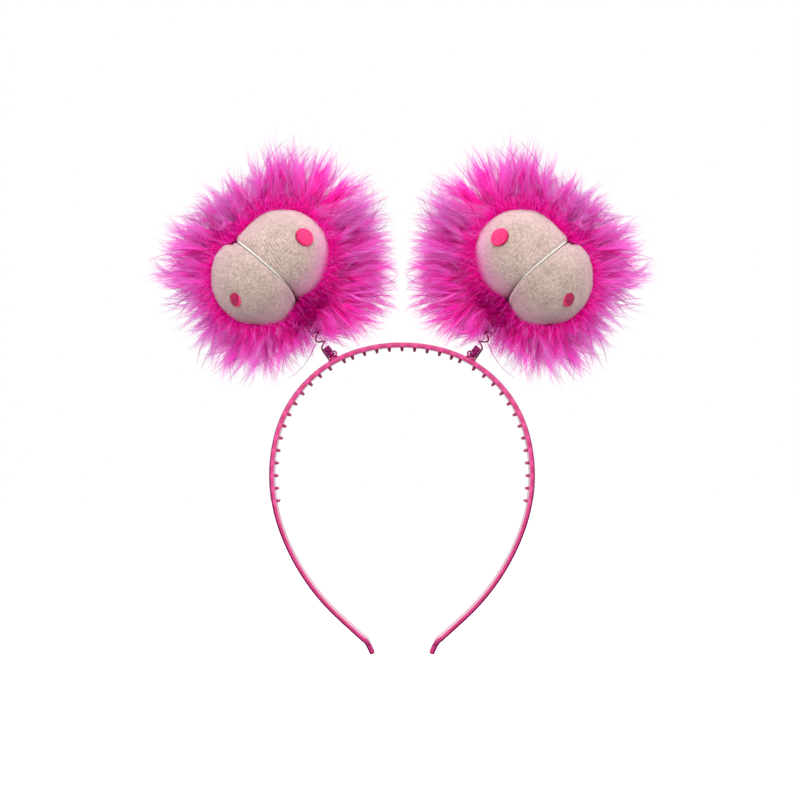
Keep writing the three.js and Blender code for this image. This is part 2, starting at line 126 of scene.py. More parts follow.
# Balls
LOBE_RADIUS = 22.1
LOBE_SPACING = 17.2
LOBE_SIDES = 152
LOBE_RINGS = 52
BACK_FLAT = 10.2  # how far behind its centre the ball's back is flat
BACK_SOFT = 2.2  # how gently it rounds over to its back
SEAM_DEPTH = 2.2
SEAM_SHOULDER = 2.6
SEAM_GAP = 0.3
SEAM_SHIFT = 3.15  # of the seam towards the lower lobe, and its swing along the seam
SEAM_SWING = 0.9
SEAM_WARP = 7.0  # how far from the seam its shift is felt
CORD_RADIUS = 0.47
CORD_START = -70  # degrees round the seam from the front between which the cord shows
CORD_END = 28
UPPER_DOT_RADIUS = 4.55
LOWER_DOT_RADIUS = 3.55
LOWER_DOT_WIDTH = 0.8  # as a share of its height
DOT_THICKNESS = 0.9
UPPER_DOT_AIM = (10.5, -18.2, 6.9)
LOWER_DOT_AIM = (-9.0, -17.3, -10.45)
FLUFF_AND_BOUNCE = {"upper": 0.66, "lower": 0.2}  # how much pink is painted on the covers' rims: partly fluff from the down, partly painted light bounced from it
FLUFF_AND_BOUNCE_AIM = {"upper": (0.93, 0, -0.36), "lower": (0.9, 0, -0.45)}
WALE_SPACING = 1.05  # between the knit's ribs
COURSE_SPACING = 0.95  # between its rows of stitches
WALE_LEAN = -58  # direction of the ribs seen from the front

# Marabou: how far the tips of the down reach from the middle of the left wreath, every 15
# degrees from the side that faces the other ball, upwards first.
REACH = [
    58.5, 59, 61.5, 61.5, 60, 59.5, 58.5, 52.5, 48, 47.5, 50.5, 54.5,
    58.5, 57, 54, 55, 58.5, 58, 54, 49, 45, 52, 62, 60.5,
]
PALENESS = [  # of the down, every 30 degrees
    0.34, 0.50, 0.25, 0.5, 0.65, 0.68, 0.40, 0.72, 0.42, 0.6, 0.3, 0.02,
]
THICKNESS = [  # of the down, every 30 degrees
    1.45, 1.35, 1.1, 0.95, 0.8, 1.0, 1.4, 0.8, 1.0, 0.85, 0.6, 1.2,
]
WREATH_SHIFT = (0.4, 11, 2.8)  # from the ball's centre
CORE_RADIUS = 19  # of the boa's twisted core, wound behind the ball's rim
PLUME_ROWS = {  # count, how far the tips reach as shares, and how far back they lie
    "collar": {"count": 46, "tip": (0.58, 0.80), "back": (-16, -6), "width": 6.0},
    "under": {"count": 46, "tip": (0.72, 0.92), "back": (2, 14), "width": 7.5},
    "front": {"count": 78, "tip": (0.84, 1.0), "back": (-14, -2), "width": 7.0},
    "middle": {"count": 92, "tip": (0.90, 1.03), "back": (-3, 13), "width": 7.5},
    "rear": {"count": 60, "tip": (0.78, 1.0), "back": (13, 25), "width": 7.5},
    "nape": {"count": 34, "tip": (0.0, 0.7), "back": (23, 31), "width": 8.0, "sway": 0.5},
}
PLUME_SWAY = 0.14  # how far its other plumes lean aside, in radians
PLUME_BOW = 5.2
WISP_BEND = 1.4
BARB_BEND = 1.2
TIP_SPREAD = 0.85  # of a wisp's barbs at their tips
WISP_SHADES = [(-0.06, 0.4), (0.2, 0.34), (0.46, 0.26)]  # how pale, and shares of the wisps
WISPS_PER_PLUME = 12
BARBS_PER_WISP = 12
BARB_WIDTH = 0.24
BARB_POINTS = 5
FRINGE_COUNT = 4400  # barbs round the ball's rim
STRAY_COUNT = 280  # single hairs past the rest
BARBS_PER_STRAY = 4
VEIL_COUNT = 2000  # barbs over the lobes' rims
SHADE_BARB_COUNT = 1000  # nearly black barbs next to the ball: painted shade in the crevices, and near the spring a stand-in for its dark wire
SHADE_BARB_SPOTS = [(313, 0.76), (340, 0.06), (100, 0.09), (150, 0.09)]  # bearings, shares of them
WREATH_PIECES = 3
MIDDLE_SPACE = 0.5  # that the left wreath keeps from the middle plane
MIDDLE_FADE = 6.5  # how far from there its barbs begin to bend back


def unit(v):
    v = np.asarray(v, float)
    return v / np.linalg.norm(v, axis=-1, keepdims=True)


def smoothstep(x, low, high):
    share = np.clip((np.asarray(x, float) - low) / (high - low), 0, 1)
    return share * share * (3 - 2 * share)


# Meshes


def new_mesh(name, points, faces, smooth=True):
    """A mesh from points in millimetres and a list of faces."""
    mesh = bpy.data.meshes.new(name)
    mesh.from_pydata((np.asarray(points) * MM).tolist(), [], faces)
    mesh.polygons.foreach_set("use_smooth", [smooth] * len(mesh.polygons))
    mesh.update()
    return mesh


def add_piece(name, mesh, material, node):
    """Puts a mesh in the scene as a piece that rides on the one body."""
    piece = bpy.data.objects.new(name, mesh)
    bpy.context.scene.collection.objects.link(piece)
    mesh.materials.append(material)
    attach(piece, "root")
    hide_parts(node)
    return piece


def side_mesh(name, points, faces, side):
    """A mesh of the left bopper, or its mirror image for the right one."""
    if side == "right":
        points = points * MIRROR
        faces = [face[::-1] for face in faces]
    return new_mesh(name, points, faces)


def paint(mesh, **tints):
    """Stores named values at a mesh's points, for its material to read."""
    for name, values in tints.items():
        mesh.attributes.new(name, "FLOAT", "POINT").data.foreach_set("value", values)


def skin(rings):
    """Points and faces of a closed skin through rings of equally many points."""
    count, sides = rings.shape[:2]
    faces = []
    for ring in range(count - 1):
        for side in range(sides):
            after = (side + 1) % sides
            low, high = ring * sides, (ring + 1) * sides
            faces.append((low + side, low + after, high + after, high + side))
    points = np.vstack([rings.reshape(-1, 3), rings[0].mean(0), rings[-1].mean(0)])
    first, last = len(points) - 2, len(points) - 1
    end = (count - 1) * sides
    for side in range(sides):
        after = (side + 1) % sides
        faces.append((first, after, side))
        faces.append((last, end + side, end + after))
    return points, faces


def joined(parts):
    """Several (points, faces) as one."""
    points, faces, start = [], [], 0
    for part_points, part_faces in parts:
        points.append(part_points)
        faces += [tuple(start + i for i in face) for face in part_faces]
        start += len(part_points)
    return np.vstack(points), faces


def basis_along(direction):
    """Two unit vectors square to a direction, the first as level as can be."""
    direction = unit(direction)
    first = unit(np.cross(direction, Y if abs(direction[1]) < NEARLY_ALONG else X))
    return first, np.cross(direction, first)


def circle(sides, first, second):
    """Directions round a circle, from one unit vector towards another."""
    angles = np.linspace(0, 2 * np.pi, sides, endpoint=False)
    return np.cos(angles)[:, None] * first + np.sin(angles)[:, None] * second


def quarter(steps):
    """Angles of a quarter turn, from one step after its start to its end."""
    return [math.pi / 2 * step / steps for step in range(1, steps + 1)]


def lathe(profile, place, direction, sides):
    """A closed round body from (radius, height) pairs along a direction."""
    round_about = circle(sides, *basis_along(direction))
    rings = [
        np.asarray(place) + radius * round_about + height * unit(direction)
        for radius, height in profile
    ]
    return skin(np.array(rings))


# Materials


class Nodes:
    """A material's node tree, with short ways to add and link nodes."""

    def __init__(self, name):
        self.material = bpy.data.materials.new(name)
        self.material.use_nodes = True
        self.tree = self.material.node_tree
        self.shader = self.tree.nodes["Principled BSDF"]
        self.output = self.tree.nodes["Material Output"]

    def add(self, kind, inputs=None, **settings):
        node = self.tree.nodes.new(kind)
        for name, value in settings.items():
            setattr(node, name, value)
        for name, value in (inputs or {}).items():
            self.set(node.inputs[name], value)
        return node

    def set(self, socket, value):
        if isinstance(value, bpy.types.NodeSocket):
            self.tree.links.new(value, socket)
        else:
            socket.default_value = value

    def math(self, operation, first, second=0.0, third=0.0):
        inputs = {0: first, 1: second, 2: third}
        return self.add("ShaderNodeMath", inputs, operation=operation).outputs[0]

    def attribute(self, name):
        return self.add("ShaderNodeAttribute", attribute_name=name).outputs["Fac"]

    def noise(self, scale, detail):
        """Noise whose grains are about 1 / scale metres across."""
        place = self.add("ShaderNodeTexCoord").outputs["Object"]
        inputs = {"Vector": place, "Scale": scale, "Detail": detail}
        return self.add("ShaderNodeTexNoise", inputs).outputs["Fac"]

    def mix(self, share, first, second):
        node = self.add("ShaderNodeMix", data_type="RGBA")
        self.set(node.inputs[0], share)
        self.set(node.inputs[6], first)
        self.set(node.inputs[7], second)
        return node.outputs[2]

    def ramp(self, share, *stops):
        """A colour ramp with (position, colour) stops."""
        node = self.add("ShaderNodeValToRGB", {"Fac": share})
        elements = node.color_ramp.elements
        while len(elements) < len(stops):
            elements.new(0.5)
        for element, (position, colour) in zip(elements, stops):
            element.position = position
            element.color = colour
        return node.outputs["Color"]

    def bump(self, height, distance, strength):
        """A normal from a height, whose full rise is a distance in millimetres."""
        inputs = {"Height": height, "Distance": distance * MM, "Strength": strength}
        return self.add("ShaderNodeBump", inputs).outputs["Normal"]

    def principled(self, **inputs):
        for name, value in inputs.items():
            self.set(self.shader.inputs[name.replace("_", " ")], value)


def plastic_material():
    """Glossy moulded plastic, with painted shade along its outer and back edges and on its teeth,
    nubs, crown and bosses, a painted reflection as a pale strip on the inner face of its legs, and
    painted highlights on its front above the teeth.
    """
    n = Nodes("pink plastic")
    flow = n.noise(160, 4.0)
    body = n.ramp(flow, (0.3, (0.47, 0.025, 0.145, 1)), (0.7, (0.60, 0.050, 0.21, 1)))
    # painted highlights: a brighter spot on the front face above each tooth
    spotted = n.mix(n.attribute("spot"), body, (0.80, 0.08, 0.30, 1))
    # painted shade: darker along the outer and back edges and on the teeth, nubs, crown and bosses
    deep = n.mix(n.attribute("deep"), spotted, (0.22, 0.0, 0.08, 1))
    # painted reflection: a pale strip on the inner face of the legs, standing in for the white
    # surroundings mirrored there
    colour = n.mix(n.attribute("pale"), deep, (0.60, 0.30, 0.40, 1))
    grain = n.noise(2500, 2.0)
    rough = n.math("MULTIPLY_ADD", flow, 0.10, 0.2)
    n.principled(Base_Color=colour, Roughness=rough, Normal=n.bump(grain, 0.01, 0.3))
    n.principled(Specular_IOR_Level=0.38)
    return n.material


def wire_material():
    """Anodised spring wire: dark magenta metal with drawn streaks."""
    n = Nodes("magenta wire")
    streak = n.noise(900, 3.0)
    colour = n.ramp(
        streak, (0.35, (0.20, 0.006, 0.10, 1)), (0.7, (0.52, 0.03, 0.26, 1))
    )
    n.principled(Base_Color=colour, Metallic=0.85, Roughness=0.25)
    n.principled(Normal=n.bump(streak, 0.01, 0.5))
    return n.material


def knit_material():
    """Fine brushed knit: ribs of stitches, with small pits between them. Its colour is darker where
    the relief is low, as painted shade in the grooves and pits, and pink at the rims, partly fluff
    from the down and partly painted bounce light.
    """
    n = Nodes("beige knit")
    wander = n.noise(260, 4.0)

    def wave(name):
        place = n.math("ADD", n.attribute(name), n.math("MULTIPLY", wander, 1.3))
        return n.math("SINE", n.math("MULTIPLY", place, 2 * math.pi))

    wale, course = wave("wale"), wave("course")
    stitch = n.math("MULTIPLY", wale, course)
    height = n.math("ADD", n.math("MULTIPLY", wale, 0.42), n.math("MULTIPLY", stitch, 0.4))
    fluff = n.noise(750, 5.0)
    patch = n.noise(110, 4.0)
    relief = n.math("ADD", height, n.math("MULTIPLY", fluff, 5.0))
    # colour follows the relief: darker in the grooves and pits as painted shade, and varied at
    # random by the fibre noise
    share = n.math("MULTIPLY_ADD", relief, 0.2, -0.02)
    relief_shaded = n.ramp(share, (0.1, (0.18, 0.128, 0.107, 1)), (0.85, (0.75, 0.57, 0.505, 1)))
    worn = n.ramp(patch, (0.35, (0.34, 0.255, 0.21, 1)), (0.65, (0.57, 0.43, 0.385, 1)))
    cover = n.mix(0.3, relief_shaded, worn)
    # pink on the rims: partly fluff from the down, partly painted bounce light from it
    colour = n.mix(n.attribute("fluff_and_bounce"), cover, (0.88, 0.30, 0.60, 1))
    n.principled(Base_Color=colour, Roughness=0.95, Normal=n.bump(relief, 0.28, 0.8))
    n.principled(Specular_IOR_Level=0.15, Sheen_Weight=0.6, Sheen_Roughness=0.4)
    n.principled(Sheen_Tint=(1.0, 0.82, 0.86, 1))
    return n.material


def cord_material():
    """White two-ply thread."""
    n = Nodes("white cord")
    fibre = n.noise(3000, 3.0)
    colour = n.ramp(fibre, (0.3, (0.44, 0.41, 0.37, 1)), (0.7, (0.74, 0.71, 0.66, 1)))
    n.principled(Base_Color=colour, Roughness=0.7, Normal=n.bump(fibre, 0.05, 0.6))
    n.principled(Sheen_Weight=0.2)
    return n.material


def felt_material(name, dark, bright):
    """Pressed felt with short matted fibres, with painted light: brighter on the side turned to the
    lamps and painted darker in shade elsewhere, after the bright attribute, and varied at random in
    patches.
    """
    n = Nodes(name)
    fibre = n.noise(1100, 6.0)
    patch = n.noise(900, 3.0)
    # painted light and painted shade from the bright attribute, with random patches added
    lit = n.math("MULTIPLY", n.attribute("bright"), 0.5)
    near = n.math("ADD", lit, n.math("MULTIPLY", patch, 0.84))
    body = n.ramp(near, (0.34, (*dark, 1)), (1.0, (*bright, 1)))
    matted = n.ramp(fibre, (0.42, (0, 0, 0, 1)), (0.62, (0.5, 0.5, 0.5, 1)))
    shaded = n.mix(matted, body, (*dark, 1))
    n.principled(Base_Color=shaded, Roughness=0.95, Normal=n.bump(fibre, 0.15, 0.9))
    n.principled(Specular_IOR_Level=0.1, Sheen_Weight=0.3)
    return n.material


DOWN_SEE_THROUGH = 0.45
DOWN_COLOURS = [  # from the roots to the tips of the palest barbs; the dark first stops are painted shade, nearly black for the barbs in the crevices and a darker pink at the roots
    (0.0, (0.17, 0.0, 0.08, 1)),
    (0.12, (0.72, 0.0, 0.26, 1)),
    (0.30, (0.98, 0.008, 0.48, 1)),
    (0.46, (0.96, 0.07, 0.66, 1)),
    (0.60, (0.85, 0.19, 0.69, 1)),
    (0.70, (0.74, 0.28, 0.66, 1)),
    (0.80, (0.52, 0.17, 0.48, 1)),
    (0.95, (0.45, 0.05, 0.28, 1)),
]


def down_material():
    """Dyed marabou: a darker pink at the roots, as painted shade of the crowded inside of the
    wreath, paler and more see-through towards the tips.
    """
    n = Nodes("pink down")
    tip = n.attribute("tip")
    shade = n.attribute("shade")
    along = n.math("ADD", n.math("MULTIPLY", tip, 0.48), n.math("MULTIPLY", shade, 0.26))
    colour = n.ramp(n.math("ADD", along, 0.09), *DOWN_COLOURS)
    diffuse = n.add("ShaderNodeBsdfDiffuse", {"Color": colour})
    through = n.add("ShaderNodeBsdfTranslucent", {"Color": colour})
    body = n.add("ShaderNodeMixShader", {0: DOWN_SEE_THROUGH})
    n.tree.links.new(diffuse.outputs[0], body.inputs[1])
    n.tree.links.new(through.outputs[0], body.inputs[2])
    n.tree.links.new(body.outputs[0], n.output.inputs["Surface"])
    n.tree.nodes.remove(n.shader)
    return n.material


# Camera and studio


def add_camera():
    data = bpy.data.cameras.new("camera")
    data.sensor_width = SENSOR_WIDTH
    data.lens = SENSOR_WIDTH * CAMERA_DISTANCE / FRAME_WIDTH
    data.clip_start = 0.01
    camera = bpy.data.objects.new("camera", data)
    camera.location = Vector((CAMERA_SIDE, -CAMERA_DISTANCE, CAMERA_HEIGHT)) * MM
    camera.rotation_euler = (math.pi / 2, 0, 0)
    bpy.context.scene.collection.objects.link(camera)
    bpy.context.scene.camera = camera


LIGHTS = [  # name, place and width in metres, power in watts
    ("left", (-0.55, -0.95, 0.42), 0.8, 5.6),
    ("right", (0.55, -0.95, 0.42), 0.8, 5.6),
    ("middle", (0.0, -0.95, 0.42), 0.6, 1.6),
    ("top", (0.0, 0.1, 1.1), 0.9, 8),
]


def add_area_light(name, place, size, power):
    """A soft square light at a place in metres, aimed at the middle of the object."""
    data = bpy.data.lights.new(name, "AREA")
    data.shape = "SQUARE"
    data.size = size
    data.energy = power
    light = bpy.data.objects.new(name, data)
    light.location = place
    light.rotation_euler = (-Vector(place)).to_track_quat("-Z", "Y").to_euler()
    bpy.context.scene.collection.objects.link(light)


def add_world():
    """Soft surroundings: bright above and behind, darker below, and white to the eye."""
    world = bpy.data.worlds.new("studio")
    world.use_nodes = True
    nodes, links = world.node_tree.nodes, world.node_tree.links

    def map_range(value, **limits):
        node = nodes.new("ShaderNodeMapRange")
        for name, limit in limits.items():
            node.inputs[name.replace("_", " ")].default_value = limit
        links.new(value, node.inputs["Value"])
        return node.outputs["Result"]

    background = nodes["Background"]
    background.inputs["Color"].default_value = (1, 1, 1, 1)
    towards = nodes.new("ShaderNodeSeparateXYZ")
    links.new(nodes.new("ShaderNodeTexCoord").outputs["Generated"], towards.inputs[0])
    height = map_range(towards.outputs["Z"], From_Min=-1, To_Min=0.35, To_Max=1.15)
    behind = map_range(towards.outputs["Y"], From_Min=0.6, From_Max=0.9)
    soft = nodes.new("ShaderNodeMath")
    soft.operation = "MAXIMUM"
    links.new(height, soft.inputs[0])
    links.new(behind, soft.inputs[1])
    seen = nodes.new("ShaderNodeMix")
    seen.data_type = "FLOAT"
    links.new(nodes.new("ShaderNodeLightPath").outputs["Is Camera Ray"], seen.inputs[0])
    links.new(soft.outputs[0], seen.inputs[2])
    seen.inputs[3].default_value = 1.0
    links.new(seen.outputs[0], background.inputs["Strength"])
    bpy.context.scene.world = world
    bpy.context.scene.view_settings.view_transform = "Standard"


def add_floor():
    """A pale floor well below, lit as evenly as the surroundings."""
    floor_drop = 110 * MM
    floor_radius = 2.5
    low = cad_box[0][2] - floor_drop
    sides = 96
    angles = np.linspace(0, 2 * np.pi, sides, endpoint=False)
    rim = np.stack([np.cos(angles), np.sin(angles), 0 * angles], 1) * floor_radius / MM
    rim[:, 2] = low / MM
    mesh = new_mesh("floor", rim, [tuple(range(sides))], smooth=False)
    floor = bpy.data.objects.new("floor", mesh)
    n = Nodes("pale floor")
    n.principled(Base_Color=(0.93, 0.93, 0.93, 1), Roughness=0.9)
    n.principled(Emission_Color=(1, 1, 1, 1), Emission_Strength=0.75)
    mesh.materials.append(n.material)
    bpy.context.scene.collection.objects.link(floor)
    floor.visible_diffuse = False
    floor.visible_glossy = False


def add_studio():
    add_world()
    for name, place, size, power in LIGHTS:
        add_area_light(name, place, size, power)
    add_floor()


# Headband


def band_course():
    """The arcs of the band's outer face from the crown to the right end, and its straight nub."""
    half = BAND_SPAN / 2
    pieces = [(radius * half, math.radians(sweep)) for _, radius, sweep in BAND_ARCS]
    pieces.append((-KINK_RADIUS, -math.radians(KINK_TURN)))
    course = []
    x, z, heading, reach = 0.0, BAND_THICKNESS, 0.0, 0.0
    for radius, turn in pieces:
        course.append((x, z, heading, reach, radius))
        x += radius * (math.sin(heading + turn) - math.sin(heading))
        z += radius * (math.cos(heading + turn) - math.cos(heading))
        heading += turn
        reach += radius * turn
    course.append((x, z, heading, reach, math.inf))
    return course


COURSE = band_course()
KINK_REACH = COURSE[-2][3]
BAND_REACH = COURSE[-1][3] + END_LENGTH


def on_band(reach):
    """Place on the band's outer face and the direction out of it, at a reach from the crown."""
    side = -1 if reach < 0 else 1
    far = abs(reach)
    x, z, heading, start, radius = [part for part in COURSE if part[3] <= far + 1e-9][-1]
    along = far - start
    if radius == math.inf:
        x += along * math.cos(heading)
        z -= along * math.sin(heading)
    else:
        now = heading + along / radius
        x += radius * (math.sin(now) - math.sin(heading))
        z += radius * (math.cos(now) - math.cos(heading))
        heading = now
    place = np.array([side * x, 0.0, z])
    return place, np.array([side * math.sin(heading), 0.0, math.cos(heading)])


def band_depth(reach):
    """The band narrows through a rounded shoulder to the nubs at its ends."""
    along = (abs(reach) - KINK_REACH + END_SHOULDER / 2) / END_SHOULDER
    share = min(max(along, 0), 1)
    return END_DEPTH + (BAND_DEPTH - END_DEPTH) * math.sqrt(1 - share**2)


def band_section(depth, thickness, chamfer):
    """The strip's section as (across, inward) pairs, from the front: chamfered at the outside."""
    half = depth / 2
    slope = chamfer * 0.75
    edge = BAND_EDGE * 0.4
    corner = [
        (-half + slope + edge, 0.0),
        (-half + slope - edge * 0.5, edge * 0.35),
        (-half + edge * 0.35, chamfer - edge * 0.5),
        (-half, chamfer + edge),
    ]
    for step in range(4):
        angle = math.pi / 2 * step / 3
        across = -half + BAND_EDGE * (1 - math.cos(angle))
        corner.append((across, thickness - BAND_EDGE * (1 - math.sin(angle))))
    corner.append((-half * INNER_EDGE_SHARE, thickness))
    return corner + [(-across, inward) for across, inward in reversed(corner)]


def band_ring(reach, shrink=0.0):
    place, out = on_band(reach)
    swell = 1 + (NUB_SWELL - 1) * float(smoothstep(abs(reach), KINK_REACH - 3, KINK_REACH))
    thickness = BAND_THICKNESS * swell
    middle = thickness / 2
    small, large = BAND_CHAMFER
    chamfer = small + (large - small) * float(smoothstep(abs(reach), 60, 130))
    return [
        place - out * (inward + (middle - inward) * shrink) + Y * across * (1 - shrink)
        for across, inward in band_section(band_depth(reach), thickness, chamfer)
    ]


def band_painted_light(reaches):
    """Painted shade, painted reflection and painted highlights at each point of the strip's rings.
    """
    section = np.array(band_section(BAND_DEPTH, BAND_THICKNESS, BAND_CHAMFER[0]))
    across, inward = section[:, 0], section[:, 1]
    at_front = -across > BAND_DEPTH / 2 - BAND_EDGE * 0.8
    outside = inward < BAND_CHAMFER[0]
    inside = inward > BAND_THICKNESS - BAND_EDGE * 0.3
    legs = smoothstep(np.abs(reaches), 35, 150)
    legs *= np.abs(reaches) < KINK_REACH + END_SHOULDER / 2
    back_edge = (across > BAND_DEPTH / 2 * INNER_EDGE_SHARE + 0.1) & (inward > BAND_THICKNESS / 2)
    nub = smoothstep(np.abs(reaches), KINK_REACH - 1, KINK_REACH + 2)
    crown = 1 - smoothstep(np.abs(reaches), 25, 85)
    # painted shade: along the outer edge, more on the legs and less at the crown, a little along
    # the back edge of the inner face, and on the nubs and the crown
    edge_shade = 0.45 + 0.5 * smoothstep(np.abs(reaches), 60, 120) - 0.2 * crown
    deep = np.maximum(outside * edge_shade[:, None] + back_edge * 0.2, 0.4 * nub[:, None])
    deep = np.maximum(deep, 0.3 * crown[:, None])
    # painted reflection: a pale strip on the inner face of the legs
    pale = inside * (1 - back_edge) * legs[:, None]
    teeth = np.array([tooth_reach(index) for index in range(TOOTH_COUNT_SIDE + 1)])
    nearest = np.abs(np.abs(reaches)[:, None] - teeth).min(1)
    # painted highlight: a bright spot on the front face above each tooth
    spot = np.exp(-((nearest / 1.3) ** 2))[:, None] * at_front * 0.8
    return deep.ravel(), pale.ravel(), spot.ravel()


def band_strip():
    """The whole bent strip, with rounded ends, and its painted shade, painted reflection and
    painted highlights.
    """
    body_steps = 440
    end_steps = 5
    end_round = BAND_THICKNESS * 0.4
    body_reach = BAND_REACH - end_round
    reaches = list(np.linspace(-body_reach, body_reach, body_steps))
    fine = np.linspace(KINK_REACH - END_SHOULDER, KINK_REACH + END_SHOULDER, 24)
    reaches = sorted({*reaches, *fine, *(-fine)})
    rings = [band_ring(reach) for reach in reaches]
    for angle in quarter(end_steps):
        reach = BAND_REACH - end_round * (1 - math.sin(angle))
        shrink = (1 - math.cos(angle)) * END_ROUNDING
        rings.append(band_ring(reach, shrink))
        rings.insert(0, band_ring(-reach, shrink))
        reaches = [-reach, *reaches, reach]
    tints = [np.append(tint, [tint[0], tint[-1]]) for tint in band_painted_light(np.array(reaches))]
    return skin(np.array(rings)), tints


def tooth_reach(index):
    """Even pitch, but the tooth before the boss steps clear of it."""
    reach = index * TOOTH_PITCH
    clear = BOSS_REACH - COIL_RADIUS - WIRE_RADIUS - BOSS_RIM - 2 * TOOTH_ROOT_RADIUS
    before = reach < BOSS_REACH < reach + TOOTH_PITCH
    return min(reach, clear) if before else reach


def tooth(reach):
    """A blunt tooth with a flared root and a round tip."""
    place, out = on_band(reach)
    root = place - out * (BAND_THICKNESS - TOOTH_SUNK)
    high = TOOTH_LENGTH + TOOTH_SUNK
    profile = [
        (TOOTH_ROOT_RADIUS * 1.12, 0),
        (TOOTH_ROOT_RADIUS * 1.0, 0.5),
        (TOOTH_ROOT_RADIUS * 0.92, 1.0),
    ]
    for step in range(5):
        angle = math.pi / 2 * step / 5
        rise = high - TOOTH_TIP_RADIUS * (1 - math.sin(angle))
        profile.append((TOOTH_TIP_RADIUS * math.cos(angle), rise))
    return lathe(profile, root, -out, 14)


def spring_direction():
    lean, back = math.radians(SPRING_LEAN), math.radians(SPRING_BACK)
    return np.array(
        [-math.sin(lean) * math.cos(back), math.sin(back), math.cos(lean) * math.cos(back)]
    )


SPRING_PLACE = on_band(-BOSS_REACH)[0]
SPRING_ALONG = spring_direction()
SPRING_FOOT = SPRING_PLACE + SPRING_ALONG * (BOSS_HEIGHT + SEAM_GAP + WIRE_RADIUS)


def boss(side):
    """A low round foot with a peg inside the coil's closed turns."""
    rim = COIL_RADIUS + WIRE_RADIUS + BOSS_RIM
    peg = COIL_RADIUS - WIRE_RADIUS - SEAM_GAP
    top = BOSS_HEIGHT
    profile = [(rim, -1.0), (rim, top * 0.35)]
    for angle in quarter(5):
        height = top * (0.35 + 0.65 * math.sin(angle))
        profile.append((rim - BOSS_RIM * (1 - math.cos(angle)), height))
    peg_top = top + FOOT_TURNS * CLOSED_PITCH
    profile += [(peg + 0.3, top), (peg, top + 0.3), (peg, peg_top - 0.4), (peg * 0.7, peg_top)]
    mirror = np.array([-side, 1, 1])
    return lathe(profile, SPRING_PLACE * mirror, SPRING_ALONG * mirror, 28)


def add_headband(material):
    strip, (deep, pale, spot) = band_strip()
    parts = [strip, boss(-1), boss(1)]
    # the bosses are painted darker all over, as painted shade under the springs
    boss_shade = np.full(len(parts[1][0]) + len(parts[2][0]), 0.6)
    deeps = [deep, boss_shade]
    for index in range(-TOOTH_COUNT_SIDE, TOOTH_COUNT_SIDE + 1):
        reach = math.copysign(tooth_reach(abs(index)), index)
        parts.append(tooth(reach))
        # painted shade on the teeth, darkest at the crown
        shade = 0.8 - 0.6 * float(smoothstep(abs(reach), 20, 80))
        deeps.append(np.full(len(parts[-1][0]), shade))
    points, faces = joined(parts)
    mesh = new_mesh("headband", points, faces)
    rest = np.zeros(len(points) - len(pale))
    paint(mesh, deep=np.concatenate(deeps), pale=np.append(pale, rest), spot=np.append(spot, rest))
    add_piece("headband_moulding", mesh, material, "headband")


# Springs


def coil_line():
    """The wire's line: closed turns at the foot, open turns and closed turns at the head."""
    first, second = basis_along(SPRING_ALONG)
    closed = (FOOT_TURNS + HEAD_TURNS) * CLOSED_PITCH
    open_pitch = (SPRING_LENGTH - closed) / OPEN_TURNS
    turns = FOOT_TURNS + OPEN_TURNS + HEAD_TURNS
    steps_per_turn = 26
    turn = np.linspace(0, turns, int(turns * steps_per_turn) + 1)
    foot_height = FOOT_TURNS * CLOSED_PITCH
    knots = [0, FOOT_TURNS, FOOT_TURNS + OPEN_TURNS, turns]
    heights = [0, foot_height, foot_height + OPEN_TURNS * open_pitch, SPRING_LENGTH]
    rise = np.interp(turn, knots, heights)
    angle = turn * 2 * np.pi
    narrow = smoothstep(turn, FOOT_TURNS - 1, FOOT_TURNS + 0.5)
    radius = FOOT_COIL_RADIUS + (COIL_RADIUS - FOOT_COIL_RADIUS) * narrow
    return (
        SPRING_FOOT
        + rise[:, None] * SPRING_ALONG
        + (radius * np.cos(angle))[:, None] * first
        + (radius * np.sin(angle))[:, None] * second
    )


def tube(line, radius, sides):
    """A closed round tube along a line of points, carried along without twist."""
    tangents = unit(np.gradient(line, axis=0))
    first, _ = basis_along(tangents[0])
    rings = []
    for place, tangent in zip(line, tangents):
        first = unit(first - tangent * (first @ tangent))
        rings.append(place + radius * circle(sides, first, np.cross(tangent, first)))
    return skin(np.array(rings))


def end_loop():
    """The wire's end, bent to a small ring beside the foot, towards the band's middle."""
    towards = unit(X - SPRING_ALONG * SPRING_ALONG[0])
    ring_centre = SPRING_FOOT + towards * FOOT_COIL_RADIUS
    ring_centre = ring_centre + SPRING_ALONG * LOOP_HEIGHT - Y * LOOP_FORWARD
    steps = 30
    turn = np.linspace(-0.1, 1.85 * np.pi, steps)
    tilt = unit(SPRING_ALONG * 0.9 - Y * 0.15)
    return (
        ring_centre
        - LOOP_RADIUS * np.cos(turn)[:, None] * towards
        + LOOP_RADIUS * np.sin(turn)[:, None] * tilt
        - np.linspace(0, 0.5, steps)[:, None] * Y
    )


def add_spring(side, material):
    lines = coil_line(), end_loop()
    points, faces = joined([tube(line, WIRE_RADIUS, WIRE_SIDES) for line in lines])
    mesh = side_mesh("spring_" + side, points, faces, side)
    add_piece("coil_" + side, mesh, material, "spring_" + side)


# Balls


def lobe_centres():
    """The centres of the left ball's lower and upper lobes, from the frame's boxes."""
    lower = np.array(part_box("lower_lobe_left")[0]) / MM + LOBE_RADIUS
    upper_low, upper_high = (np.array(corner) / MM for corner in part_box("upper_lobe_left"))
    upper = np.array(
        [upper_high[0] - LOBE_RADIUS, upper_low[1] + LOBE_RADIUS, upper_high[2] - LOBE_RADIUS]
    )
    return lower, upper


